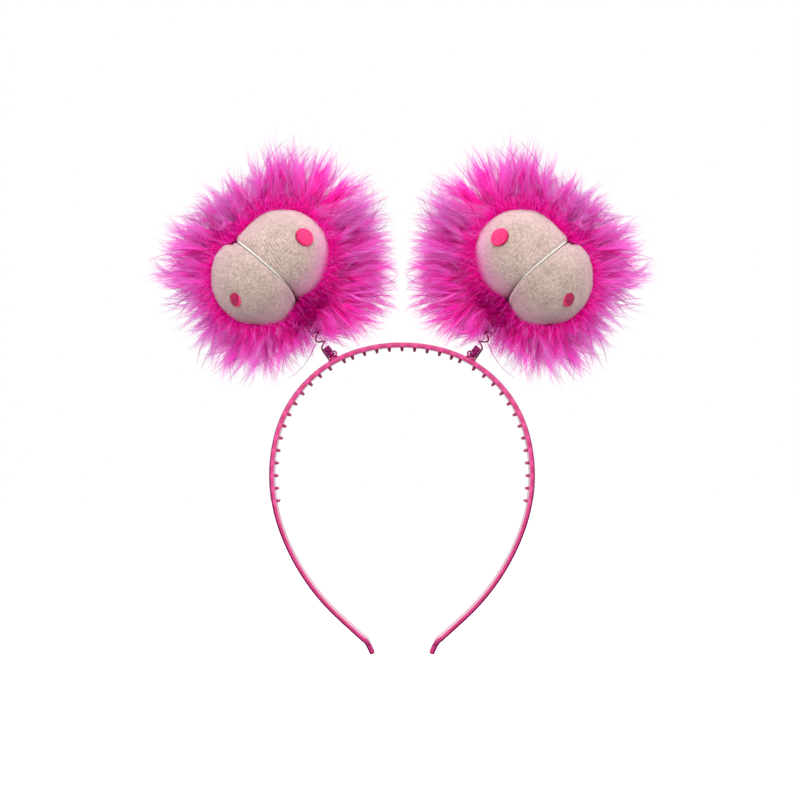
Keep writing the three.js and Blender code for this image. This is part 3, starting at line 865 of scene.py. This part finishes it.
LOWER_CENTRE, UPPER_CENTRE = lobe_centres()
LOBE_CENTRES = {"lower": LOWER_CENTRE, "upper": UPPER_CENTRE}
BALL_CENTRE = (LOWER_CENTRE + UPPER_CENTRE) / 2
LOBE_AXIS = unit(UPPER_CENTRE - LOWER_CENTRE)
SEAM_FRONT = unit(-Y + LOBE_AXIS * LOBE_AXIS[1])
SEAM_END = unit(np.cross(Y, LOBE_AXIS))  # along the seam in the view's plane, to lower right
SHOULDER_OUT = math.sqrt(LOBE_RADIUS**2 - (LOBE_SPACING / 2 - SEAM_SHOULDER) ** 2)
SEAM_RADIUS = SHOULDER_OUT - SEAM_DEPTH
BACK_Y = BALL_CENTRE[1] + BACK_FLAT


def lobe_profile():
    """(radius, height) pairs of one lobe from the middle of the seam's face to its pole."""
    centre = LOBE_SPACING / 2
    profile = [(SEAM_RADIUS * share, SEAM_GAP / 2) for share in (0.0, 0.5, 0.85)]
    for step in range(13):
        angle = math.pi / 2 * step / 12
        out = SEAM_RADIUS + SEAM_DEPTH * math.sin(angle)
        high = SEAM_GAP / 2 + (SEAM_SHOULDER - SEAM_GAP / 2) * (1 - math.cos(angle))
        profile.append((out, high))
    start = math.asin((SEAM_SHOULDER - centre) / LOBE_RADIUS)
    for step in range(1, LOBE_RINGS + 1):
        angle = start + (math.pi / 2 - start) * step / LOBE_RINGS
        profile.append((LOBE_RADIUS * math.cos(angle), centre + LOBE_RADIUS * math.sin(angle)))
    return np.array(profile)


def wave_noise(points, seed, size, count=7):
    """Soft lumps about a size across: a sum of plane waves in seeded directions."""
    rng = np.random.default_rng(seed)
    total = np.zeros(len(points))
    for _ in range(count):
        direction = unit(rng.normal(size=3)) * 2 * np.pi / size * rng.uniform(0.7, 1.4)
        total += np.sin(points @ direction + rng.uniform(0, 2 * np.pi))
    return total / count


LOBE_OUTLINE = {  # bearing seen from the front, and how far the cover stands out there
    "upper": [
        (12, 0), (60, 0.1), (112, 0.4), (127, 0.3), (147, 0.9), (160, 0.8), (200, 0),
        (270, 0), (295, 0), (312, -0.4), (335, -0.6), (350, -1.0), (372, 0),
    ],
    "lower": [
        (0, -0.5), (90, 0), (120, -0.8), (133, 1.2), (152, 1.5), (175, 0.5), (207, 0.1),
        (236, -0.2), (251, -0.7), (266, -1.4), (283, 0), (297, 0.8), (312, 0.5), (330, -1.2),
        (360, -0.5),
    ],
}


def seam_angle(points):
    """Angle round the seam, from the front towards the lower right."""
    from_centre = points - BALL_CENTRE
    return np.arctan2(from_centre @ SEAM_END, from_centre @ SEAM_FRONT)


def seam_warp(points):
    """Moves points near the seam to where it runs, nearer to the lower lobe's middle."""
    along = (points - BALL_CENTRE) @ LOBE_AXIS
    shift = -SEAM_SHIFT + SEAM_SWING * np.sin(2 * seam_angle(points))
    felt = np.exp(-((along / SEAM_WARP) ** 2))
    return points + (shift * felt)[:, None] * LOBE_AXIS


def lobe(which):
    """Points and faces of a lobe of the left ball, with the knit's own coordinates."""
    side = 1 if which == "upper" else -1
    centre = LOBE_CENTRES[which]
    profile = lobe_profile()
    about = circle(LOBE_SIDES, *basis_along(LOBE_AXIS))
    rings = (
        BALL_CENTRE
        + profile[:, 0, None, None] * about[None]
        + side * profile[:, 1, None, None] * LOBE_AXIS
    )
    points, faces = skin(rings)
    if side < 0:
        faces = [face[::-1] for face in faces]

    out = points - centre
    distance = np.linalg.norm(out, axis=1)
    out = out / np.maximum(distance, 1e-6)[:, None]
    from_seam = np.abs((points - BALL_CENTRE) @ LOBE_AXIS)
    on_skin = smoothstep(distance, LOBE_RADIUS * 0.7, LOBE_RADIUS * 0.95)

    rise = 0.2 * wave_noise(points, SEEDS["lumps"], 16)
    bearing = np.degrees(np.arctan2(out[:, 2], out[:, 0])) % 360
    bearings, rises = zip(*LOBE_OUTLINE[which])
    in_view_plane = np.hypot(out[:, 0], out[:, 2])
    rise += np.interp(bearing, bearings, rises, period=360) * in_view_plane**4
    turn = seam_angle(points)
    pucker = np.sin(turn * 34 + 2.0 * np.sin(turn * 5)) * np.sin(turn * 3 + 1.0)
    rise += 0.16 * pucker * np.exp(-(((from_seam - 1.2) / 2.6) ** 2))
    overlap = smoothstep(np.degrees(turn), CORD_END - 8, CORD_END + 30)
    overlap *= 1 - smoothstep(np.degrees(turn), 100, 140)
    near = np.exp(-((from_seam / 3.2) ** 2))
    rise += overlap * near * (-2.0 if which == "upper" else 0.7)
    points = points + out * (rise * on_skin)[:, None]

    lean = math.radians(WALE_LEAN)
    pole = np.array([math.cos(lean), 0.0, math.sin(lean)])
    across = np.array([-math.sin(lean), 0.0, math.cos(lean)])
    local = points - centre
    around_pole = np.arctan2(local @ across, -local[:, 1])
    along_pole = np.arcsin(np.clip(unit(local) @ pole, -1, 1))
    coordinates = {
        "wale": around_pole * LOBE_RADIUS / WALE_SPACING,
        "course": along_pole * LOBE_RADIUS / COURSE_SPACING,
        "fluff_and_bounce": fluff_and_bounce(which, unit(local)),
    }

    points = seam_warp(points)
    over = points[:, 1] - (BACK_Y - BACK_SOFT)
    rounded = BACK_Y - BACK_SOFT + BACK_SOFT * (1 - np.exp(-np.maximum(over, 0) / BACK_SOFT))
    points[:, 1] = np.where(over > 0, rounded, points[:, 1])
    return points, faces, coordinates


def fluff_and_bounce(which, out):
    """Pink on the cover's rim, partly fluff from the down and partly painted light bounced from it,
    most of it on the right of the upper lobe.
    """
    rim = smoothstep(np.hypot(out[:, 0], out[:, 2]), 0.45, 1.02)
    turned_down = smoothstep(out @ unit(FLUFF_AND_BOUNCE_AIM[which]), 0.0, 0.95)
    return rim * (0.15 + FLUFF_AND_BOUNCE[which] * turned_down)


def add_lobe(which, side, material):
    node = f"{which}_lobe_{side}"
    points, faces, coordinates = lobe(which)
    mesh = side_mesh(node, points, faces, side)
    paint(mesh, **coordinates)
    piece = add_piece(f"{which}_cover_{side}", mesh, material, node)


def add_seam_cord(side, material):
    """The two-ply cord in the groove, which sinks out of sight towards the lower right."""
    steps = 440
    sides = 10
    plies = 2
    twists = 90
    sunk = 2.2
    groove = math.acos(1 - (CORD_RADIUS + SEAM_GAP / 2) / (SEAM_SHOULDER - SEAM_GAP / 2))
    ring_radius = SEAM_RADIUS + SEAM_DEPTH * math.sin(groove)
    rings = []
    start, end = math.radians(CORD_START - 20), math.radians(CORD_END + 25)
    for angle in np.linspace(start, end, steps):
        out = math.cos(angle) * SEAM_FRONT + math.sin(angle) * SEAM_END
        sink = float(smoothstep(math.degrees(angle), CORD_END - 12, CORD_END + 12))
        sink += float(smoothstep(-math.degrees(angle), -CORD_START - 8, -CORD_START + 12))
        middle = BALL_CENTRE + out * (ring_radius - sink * sunk)
        turns = 2 * np.pi * np.arange(sides) / sides
        radius = CORD_RADIUS * (1 + 0.2 * np.cos(plies * turns - twists * angle))
        ring = (radius * np.cos(turns))[:, None] * out
        ring = ring + (radius * np.sin(turns))[:, None] * LOBE_AXIS
        rings.append(seam_warp(np.array([middle])) + ring)
    points, faces = skin(np.array(rings))
    mesh = side_mesh("seam_cord_" + side, points, faces, side)
    add_piece("cord_" + side, mesh, material, "seam_cord_" + side)


def add_felt_dot(which, side, radius, aim, material):
    """A thin felt disc that follows the lobe, with a soft uneven rim."""
    width = LOWER_DOT_WIDTH if which == "lower" else 1.0
    centre = LOBE_CENTRES[which]
    aim = unit(aim)
    level = np.array([0.98, 0, 0.2])
    first = unit(level - aim * (aim @ level))
    second = np.cross(aim, first)
    low = LOBE_RADIUS + 0.05
    high = LOBE_RADIUS + 0.3 + DOT_THICKNESS * (1.0 if which == "upper" else 0.5)
    sides = 72
    rng = np.random.default_rng(SEEDS[which])
    angles = np.linspace(0, 2 * np.pi, sides, endpoint=False)
    uneven = 1 + 0.012 * np.convolve(rng.normal(size=sides), np.ones(5) / 2, "same")
    about = width * np.cos(angles)[:, None] * first + np.sin(angles)[:, None] * second
    profile = [(0.1, low), (0.5, low), (0.95, low)]
    profile += [(0.985 + 0.015 * math.sin(a), low + (high - low) * (0.5 - 0.4 * math.cos(a)))
                for a in np.linspace(0.3, math.pi * 0.75, 5)]
    profile += [(0.93, high), (0.8, high), (0.6, high), (0.35, high), (0.1, high)]
    rings, bright = [], []
    # painted light: the upper dot is painted darker at its rim turned away from lit, the lower dot
    # painted dark all over but for its rim turned towards lit
    lit = unit([1, 0, 0.25] if which == "upper" else [0.8, 0, -0.6])
    to_right = about @ lit
    to_right = to_right / np.abs(to_right).max()
    for share, height in profile:
        out = radius * share
        drop = np.sqrt(height**2 - out**2)
        ring = centre + aim * drop + about * out * uneven[:, None]
        rings.append(ring)
        if which == "upper":
            bright.append(1 - smoothstep(share * (0.78 - 0.22 * to_right), 0.76, 0.92))
        else:
            bright.append(smoothstep(share * (0.72 + 0.28 * to_right), 0.66, 0.86))
    points, faces = skin(np.array(rings))
    bright = np.append(np.concatenate(bright), [0.5, 1.0 if which == "upper" else 0.0])
    points = points + aim * (0.05 * wave_noise(points, SEEDS["felt"], 1.1))[:, None]
    node = f"{which}_dot_{side}"
    mesh = side_mesh(node, points, faces, side)
    paint(mesh, bright=bright)
    add_piece(f"{which}_felt_{side}", mesh, material, node)


# Marabou

WREATH = BALL_CENTRE + np.array(WREATH_SHIFT)


def round_table(table, angle):
    """The value at an angle of a table of evenly spaced values round the wreath."""
    rows = len(table)
    place = np.mod(angle, 2 * np.pi) / (2 * np.pi) * rows
    return np.interp(place, range(rows + 1), [*table, table[0]])


def reach_at(angle):
    """How far the down reaches at an angle round the wreath."""
    return round_table(REACH, angle)


def crowded(share):
    """Angles round the wreath, closer together where the down is thick."""
    fine = np.linspace(0, 2 * np.pi, 721)
    total = np.cumsum(round_table(THICKNESS, fine))
    total = (total - total[0]) / (total[-1] - total[0])
    return np.interp(np.mod(share, 1), total, fine)


def around(centre, angle, radius, back):
    """Points at angles and radii round a centre, seen from the front, and depths behind it."""
    return centre + np.stack([radius * np.cos(angle), back, radius * np.sin(angle)], -1)


def bezier(start, control, end, share):
    """Places at shares of a curved line."""
    share = share[..., None]
    return (1 - share) ** 2 * start + 2 * share * (1 - share) * control + share**2 * end


def barb_shares(count):
    """The shares of their lengths at which barbs have their points."""
    return np.broadcast_to(np.linspace(0, 1, BARB_POINTS)[None], (count, BARB_POINTS))


def barb_lines(start, bend, end):
    """Curved lines of barbs from their roots to their tips, and the shares along them."""
    share = barb_shares(len(start))
    return bezier(start[:, None], bend[:, None], end[:, None], share), share


def plumes(rng):
    """Roots, controls, tips and widths of the plumes of one wreath."""
    roots, controls, tips, widths = [], [], [], []
    for row in PLUME_ROWS.values():
        count = row["count"]
        angle = crowded((np.arange(count) + rng.uniform(-0.42, 0.42, count)) / count)
        low, high = row["tip"]
        share = rng.uniform(low, high, count)
        back = rng.uniform(*row["back"], count)
        sway = rng.normal(0, row.get("sway", PLUME_SWAY), count)
        root_radius = CORE_RADIUS * rng.uniform(0.8, 1.15, count)
        root_back = np.clip(back * 0.35 + 3, 1.5, 12)
        root = around(WREATH, angle, root_radius, root_back)
        tip = around(WREATH, angle + sway, reach_at(angle + sway) * share, back)
        middle = (root + tip) / 2
        bow = rng.normal(0, PLUME_BOW, (count, 3))
        bow[:, 1] += np.where(back < 0, 2.0, -2.0)
        roots.append(root)
        tips.append(tip)
        controls.append(middle + bow)
        widths.append(np.full(count, row["width"]) * rng.uniform(0.8, 1.2, count))
    return [np.concatenate(each) for each in (roots, controls, tips, widths)]


def across_axes(direction):
    """Two unit vectors square to each of many directions."""
    helper = np.where(np.abs(direction[:, 1:2]) < 0.9, Y, X)
    first = unit(np.cross(direction, helper))
    return first, np.cross(direction, first)


def plume_barbs(rng):
    """Lines of all barbs of one wreath: plumes of wisps, and wisps of barbs."""
    root, control, tip, width = plumes(rng)
    plume = np.repeat(np.arange(len(root)), WISPS_PER_PLUME)
    wisps = len(plume)
    begin = np.tile(np.linspace(0.0, 0.6, WISPS_PER_PLUME), len(root))
    begin = np.clip(begin + rng.uniform(-0.08, 0.08, wisps), 0, 0.7)
    end = np.minimum(begin + rng.uniform(0.38, 0.58, wisps), 1.1)
    widths = np.repeat(BARB_WIDTH * (2.1 - 1.0 * end), BARBS_PER_WISP)
    start_place = bezier(root[plume], control[plume], tip[plume], begin)
    end_place = bezier(root[plume], control[plume], tip[plume], end)
    direction = unit(end_place - start_place)
    first, second = across_axes(direction)
    turn = rng.uniform(0, 2 * np.pi, wisps)
    spread = np.sqrt(rng.uniform(0, 1, wisps)) * width[plume] * (1.1 - 0.2 * end)
    sideways = (np.cos(turn) * spread)[:, None] * first + (np.sin(turn) * spread)[:, None] * second
    end_place = end_place + sideways
    bend_place = (start_place + end_place) / 2 + sideways * 0.35

    wisp = np.repeat(np.arange(wisps), BARBS_PER_WISP)
    barbs = len(wisp)
    shift = rng.uniform(-0.06, 0.06, barbs)
    at = np.clip(begin[wisp] + shift, 0, 1)
    of = plume[wisp]
    start = bezier(root[of], control[of], tip[of], at)
    length = np.linalg.norm(end_place[wisp] - start, axis=1)
    stagger = rng.uniform(-0.3, 0.14, barbs) * length
    loose = rng.normal(0, TIP_SPREAD, (barbs, 3)) * rng.uniform(0.3, 1.7, (wisps, 1))[wisp]
    end = end_place[wisp] + direction[wisp] * stagger[:, None] + loose
    bend = bend_place[wisp] + rng.normal(0, BARB_BEND, (barbs, 3))
    bend = bend + rng.normal(0, WISP_BEND, (wisps, 3))[wisp]
    lines, share = barb_lines(start, bend, end)
    from_middle = tip - WREATH
    pale = round_table(PALENESS, np.arctan2(from_middle[:, 2], from_middle[:, 0]))
    shade = pale - 0.28 + 0.35 * wave_noise(tip, SEEDS["shades"], 30, 5)
    shade = shade + rng.uniform(0, 0.25, len(root))
    own_shades, their_shares = zip(*WISP_SHADES)
    own = rng.choice(own_shades, wisps, p=their_shares)
    shade = shade[of] + own[wisp] + rng.uniform(-0.1, 0.25, barbs)
    shade = np.clip(shade, -0.4, 1.1)
    fade = at[:, None] + (np.clip(at + 0.5, 0, 1) - at)[:, None] * share
    fade = np.minimum(fade, 1.35 - 0.5 * shade[:, None])
    return lines, widths, shade, fade


def fringe_barbs(rng):
    """Short curly barbs that crowd round the ball's rim."""
    count = FRINGE_COUNT
    angle = rng.uniform(0, 2 * np.pi, count)
    back = rng.uniform(-12, 5, count)
    start = around(BALL_CENTRE, angle, ball_rim(angle) - 0.5, back + 4)
    lean = angle + rng.normal(0, 0.75, count)
    long = rng.uniform(4, 11, count)
    forward = rng.uniform(-0.6, 0.2, count) * long
    step = around(0, lean, long, forward)
    end = start + step
    bend = start + step * 0.5 + rng.normal(0, 2.4, (count, 3))
    lines, share = barb_lines(start, bend, end)
    shade = rng.uniform(-0.3, 0.6, count) + 1.1 * (rng.uniform(0, 1, count) < 0.2)
    return lines, np.full(count, BARB_WIDTH), shade, share * 0.45


def stray_barbs(rng):
    """Pointed hairs past the rest: a few barbs stuck together, each hair with its own bend."""
    count = STRAY_COUNT
    angle = rng.uniform(0, 2 * np.pi, count)
    back = rng.uniform(-12, 22, count)
    far = reach_at(angle) * rng.uniform(0.88, 1.08, count)
    aside = angle + rng.normal(0, 0.13, count)
    start = around(WREATH, aside, far * rng.uniform(0.66, 0.8), back * 0.8)
    end = around(WREATH, angle, far, back)
    bend = (start + end) / 2 + np.clip(rng.normal(0, 2.2, (count, 3)), -3.5, 3.5)
    hair = np.repeat(np.arange(count), BARBS_PER_STRAY)
    barbs = len(hair)
    start = start[hair] + rng.normal(0, 0.4, (barbs, 3))
    bend = bend[hair] + rng.normal(0, 0.25, (barbs, 3))
    end = end[hair] + rng.normal(0, 0.35, (barbs, 3))
    lines, share = barb_lines(start, bend, end)
    shade = rng.choice([0.6, 1.3], count)[hair] + rng.uniform(0, 0.2, barbs)
    return lines, np.full(barbs, BARB_WIDTH * 0.95), shade, 0.75 + 0.25 * share


def veil_barbs(rng):
    """Fine barbs that lie over the rims of the lobes, most at the right of the upper one."""
    count = VEIL_COUNT
    upper = rng.uniform(0, 1, count) < 0.66
    middle = np.where(upper, np.radians(-16), np.radians(290))
    bearing = middle + rng.normal(0, 1, count) * np.where(upper, 0.48, 0.4)
    centre = np.where(upper[:, None], UPPER_CENTRE, LOWER_CENTRE)
    spread = np.exp(-(((bearing - middle) / 0.7) ** 2)) * np.where(upper, 1.0, 0.6)
    tilt = np.radians(90 - rng.uniform(0, 1, count) ** 1.8 * (8 + 30 * spread))
    low = LOBE_RADIUS + rng.uniform(0.1, 0.9, count)
    share = barb_shares(count)
    begin_tilt = tilt + np.radians(rng.uniform(8, 20, count))
    tilts = begin_tilt[:, None] + (tilt - begin_tilt)[:, None] * share
    bearings = bearing[:, None] + rng.normal(0, 0.16, count)[:, None] * share
    rise = low[:, None] + 1.2 * share**2 * rng.uniform(0, 1, count)[:, None]
    lines = centre[:, None] + rise[..., None] * np.stack(
        [np.sin(tilts) * np.cos(bearings), -np.cos(tilts), np.sin(tilts) * np.sin(bearings)], -1
    )
    lines += rng.normal(0, 0.12, lines.shape)
    shade = rng.uniform(0.2, 1.3, count)
    return lines, np.full(count, BARB_WIDTH * 0.65), shade, 0.2 + 0.4 * share


def shade_and_wire_barbs(rng):
    """Nearly black curly barbs next to the ball, most of them near the spring: painted shade in the
    crevices of the down, and near the spring also a stand-in for its dark wire.
    """
    count = SHADE_BARB_COUNT
    bearings, shares = zip(*SHADE_BARB_SPOTS)
    which = rng.choice(len(SHADE_BARB_SPOTS), count, p=shares)
    angle = np.radians(bearings)[which] + rng.normal(0, 0.2, count)
    radius = ball_rim(angle) + rng.uniform(0.2, 8, count)
    back = rng.uniform(-7, 4, count)
    start = around(BALL_CENTRE, angle, radius, back)
    end = start + rng.normal(0, 3.0, (count, 3))
    bend = (start + end) / 2 + rng.normal(0, 2.4, (count, 3))
    lines, share = barb_lines(start, bend, end)
    # nearly black, as painted shade: low shades and tips close to the roots pick the darkest stop
    # of the down's colours
    return lines, np.full(count, BARB_WIDTH * 1.4), rng.uniform(-0.5, 0.05, count), share * 0.1


def ball_rim(angle):
    """Radius of the ball's outline round its centre, seen from the front."""
    direction = np.stack([np.cos(angle), 0 * angle, np.sin(angle)], -1)
    rim = np.zeros_like(angle)
    for centre in LOBE_CENTRES.values():
        offset = (centre - BALL_CENTRE) * [1, 0, 1]
        along = direction @ offset
        rim = np.maximum(rim, along + np.sqrt(LOBE_RADIUS**2 - offset @ offset + along**2))
    return rim


def keep_clear(lines):
    """Moves barbs off the ball, the middle plane and the lower part of the spring."""
    points = lines.reshape(-1, 3)
    clear = LOBE_RADIUS - 0.5
    for centre in LOBE_CENTRES.values():
        out = points - centre
        out[:, 1] = np.maximum(out[:, 1], 0.0)
        inside = (np.linalg.norm(out, axis=1) < clear) & (points[:, 1] < BACK_Y + 0.5)
        flat = out[inside] * [1, 0, 1]
        far = np.sqrt(np.maximum(clear**2 - out[inside, 1] ** 2, 0))
        pushed = centre + unit(flat) * far[:, None]
        points[inside, 0] = pushed[:, 0]
        points[inside, 2] = pushed[:, 2]
    limit = -MIDDLE_SPACE - MIDDLE_FADE
    past = np.maximum(points[:, 0] - limit, 0)
    points[:, 0] += MIDDLE_FADE * np.tanh(past / MIDDLE_FADE) - past
    along = (points - SPRING_FOOT) @ SPRING_ALONG
    off = points - SPRING_FOOT - along[:, None] * SPRING_ALONG
    beside = np.hypot(off[:, 0], off[:, 2])
    ragged = 1.5 * wave_noise(points, SEEDS["ragged"], 5)
    near = (along > -4) & (along < SPRING_SHOWN * SPRING_LENGTH + 2 * ragged)
    near &= (beside < COIL_RADIUS + 0.9 + ragged) & (off[:, 1] < COIL_RADIUS + 1)
    points[near, 1] += COIL_RADIUS + 1.2 - off[near, 1]
    return points.reshape(lines.shape)


def ribbons(lines, widths, rng):
    """Each line as a thin ribbon that tapers to a point: points, and corners of its faces."""
    barbs, count = lines.shape[:2]
    tangent = unit(lines[:, -1] - lines[:, 0])
    first, second = across_axes(tangent)
    turn = rng.uniform(0, 2 * np.pi, barbs)[:, None]
    across = np.cos(turn) * first + np.sin(turn) * second
    taper = 1 - 0.6 * np.linspace(0, 1, count - 1)
    half = (widths[:, None] / 2 * taper[None])[..., None] * across[:, None]
    sides = np.stack([lines[:, :-1] - half, lines[:, :-1] + half], 2)
    points = np.concatenate([sides.reshape(barbs, -1, 3), lines[:, -1:]], 1)
    corners = []
    for step in range(count - 2):
        low = 2 * step
        corners += [low, low + 1, low + 3, low + 2]
    last = 2 * (count - 2)
    corners += [last, last + 1, last + 2]
    return points, np.array(corners)


def add_down(name, side, barbs, seed, material, node):
    """One piece of down from lines, widths, shades and how near each point is to its tip."""
    lines, widths, shades, fades = barbs
    rng = np.random.default_rng(seed)
    points, corners = ribbons(lines, widths, rng)
    count, each = points.shape[:2]
    if side == "right":
        points = points * MIRROR
    loops = (corners[None] + each * np.arange(count)[:, None]).ravel()
    sizes = np.array([4] * (BARB_POINTS - 2) + [3])
    starts = np.concatenate([[0], np.cumsum(np.tile(sizes, count))[:-1]])
    mesh = bpy.data.meshes.new(name)
    mesh.vertices.add(count * each)
    mesh.vertices.foreach_set("co", (points * MM).ravel())
    mesh.loops.add(len(loops))
    mesh.loops.foreach_set("vertex_index", loops)
    mesh.polygons.add(len(starts))
    mesh.polygons.foreach_set("loop_start", starts)
    mesh.update(calc_edges=True)
    fade = np.concatenate([np.repeat(fades[:, :-1], 2, 1), fades[:, -1:]], 1)
    paint(mesh, tip=fade.ravel(), shade=np.repeat(shades, each))
    add_piece(name, mesh, material, node)


def add_marabou(side, material):
    """The wreath in a few pieces, so that each stays light."""
    rng = np.random.default_rng(SEEDS["wreath"])
    groups = [plume_barbs(rng), fringe_barbs(rng), stray_barbs(rng), shade_and_wire_barbs(rng)]
    lines, widths, shades, fades = (np.concatenate(each) for each in zip(*groups))
    groups = [(keep_clear(lines), widths, shades, fades), veil_barbs(rng)]
    lines, widths, shades, fades = (np.concatenate(each) for each in zip(*groups))
    order = rng.permutation(len(lines))
    node = "marabou_" + side
    for number, part in enumerate(np.array_split(order, WREATH_PIECES), 1):
        barbs = lines[part], widths[part], shades[part], fades[part]
        seed = SEEDS["ribbons"] + number
        add_down(f"down_{number}_{side}", side, barbs, seed, material, node)


add_camera()
add_studio()
plastic = plastic_material()
wire = wire_material()
knit = knit_material()
thread = cord_material()
# the two felts are nearly the same; the lower dot looks darker because add_felt_dot paints shade on
# it
upper_dot_felt = felt_material("bright felt", (0.32, 0.003, 0.055), (0.92, 0.036, 0.19))
lower_dot_felt = felt_material("dark felt", (0.30, 0.003, 0.055), (1.0, 0.055, 0.25))
down = down_material()

add_headband(plastic)
for side in ("left", "right"):
    add_spring(side, wire)
    for which in ("upper", "lower"):
        add_lobe(which, side, knit)
    add_seam_cord(side, thread)
    add_felt_dot("upper", side, UPPER_DOT_RADIUS, UPPER_DOT_AIM, upper_dot_felt)
    add_felt_dot("lower", side, LOWER_DOT_RADIUS, LOWER_DOT_AIM, lower_dot_felt)
    add_marabou(side, down)
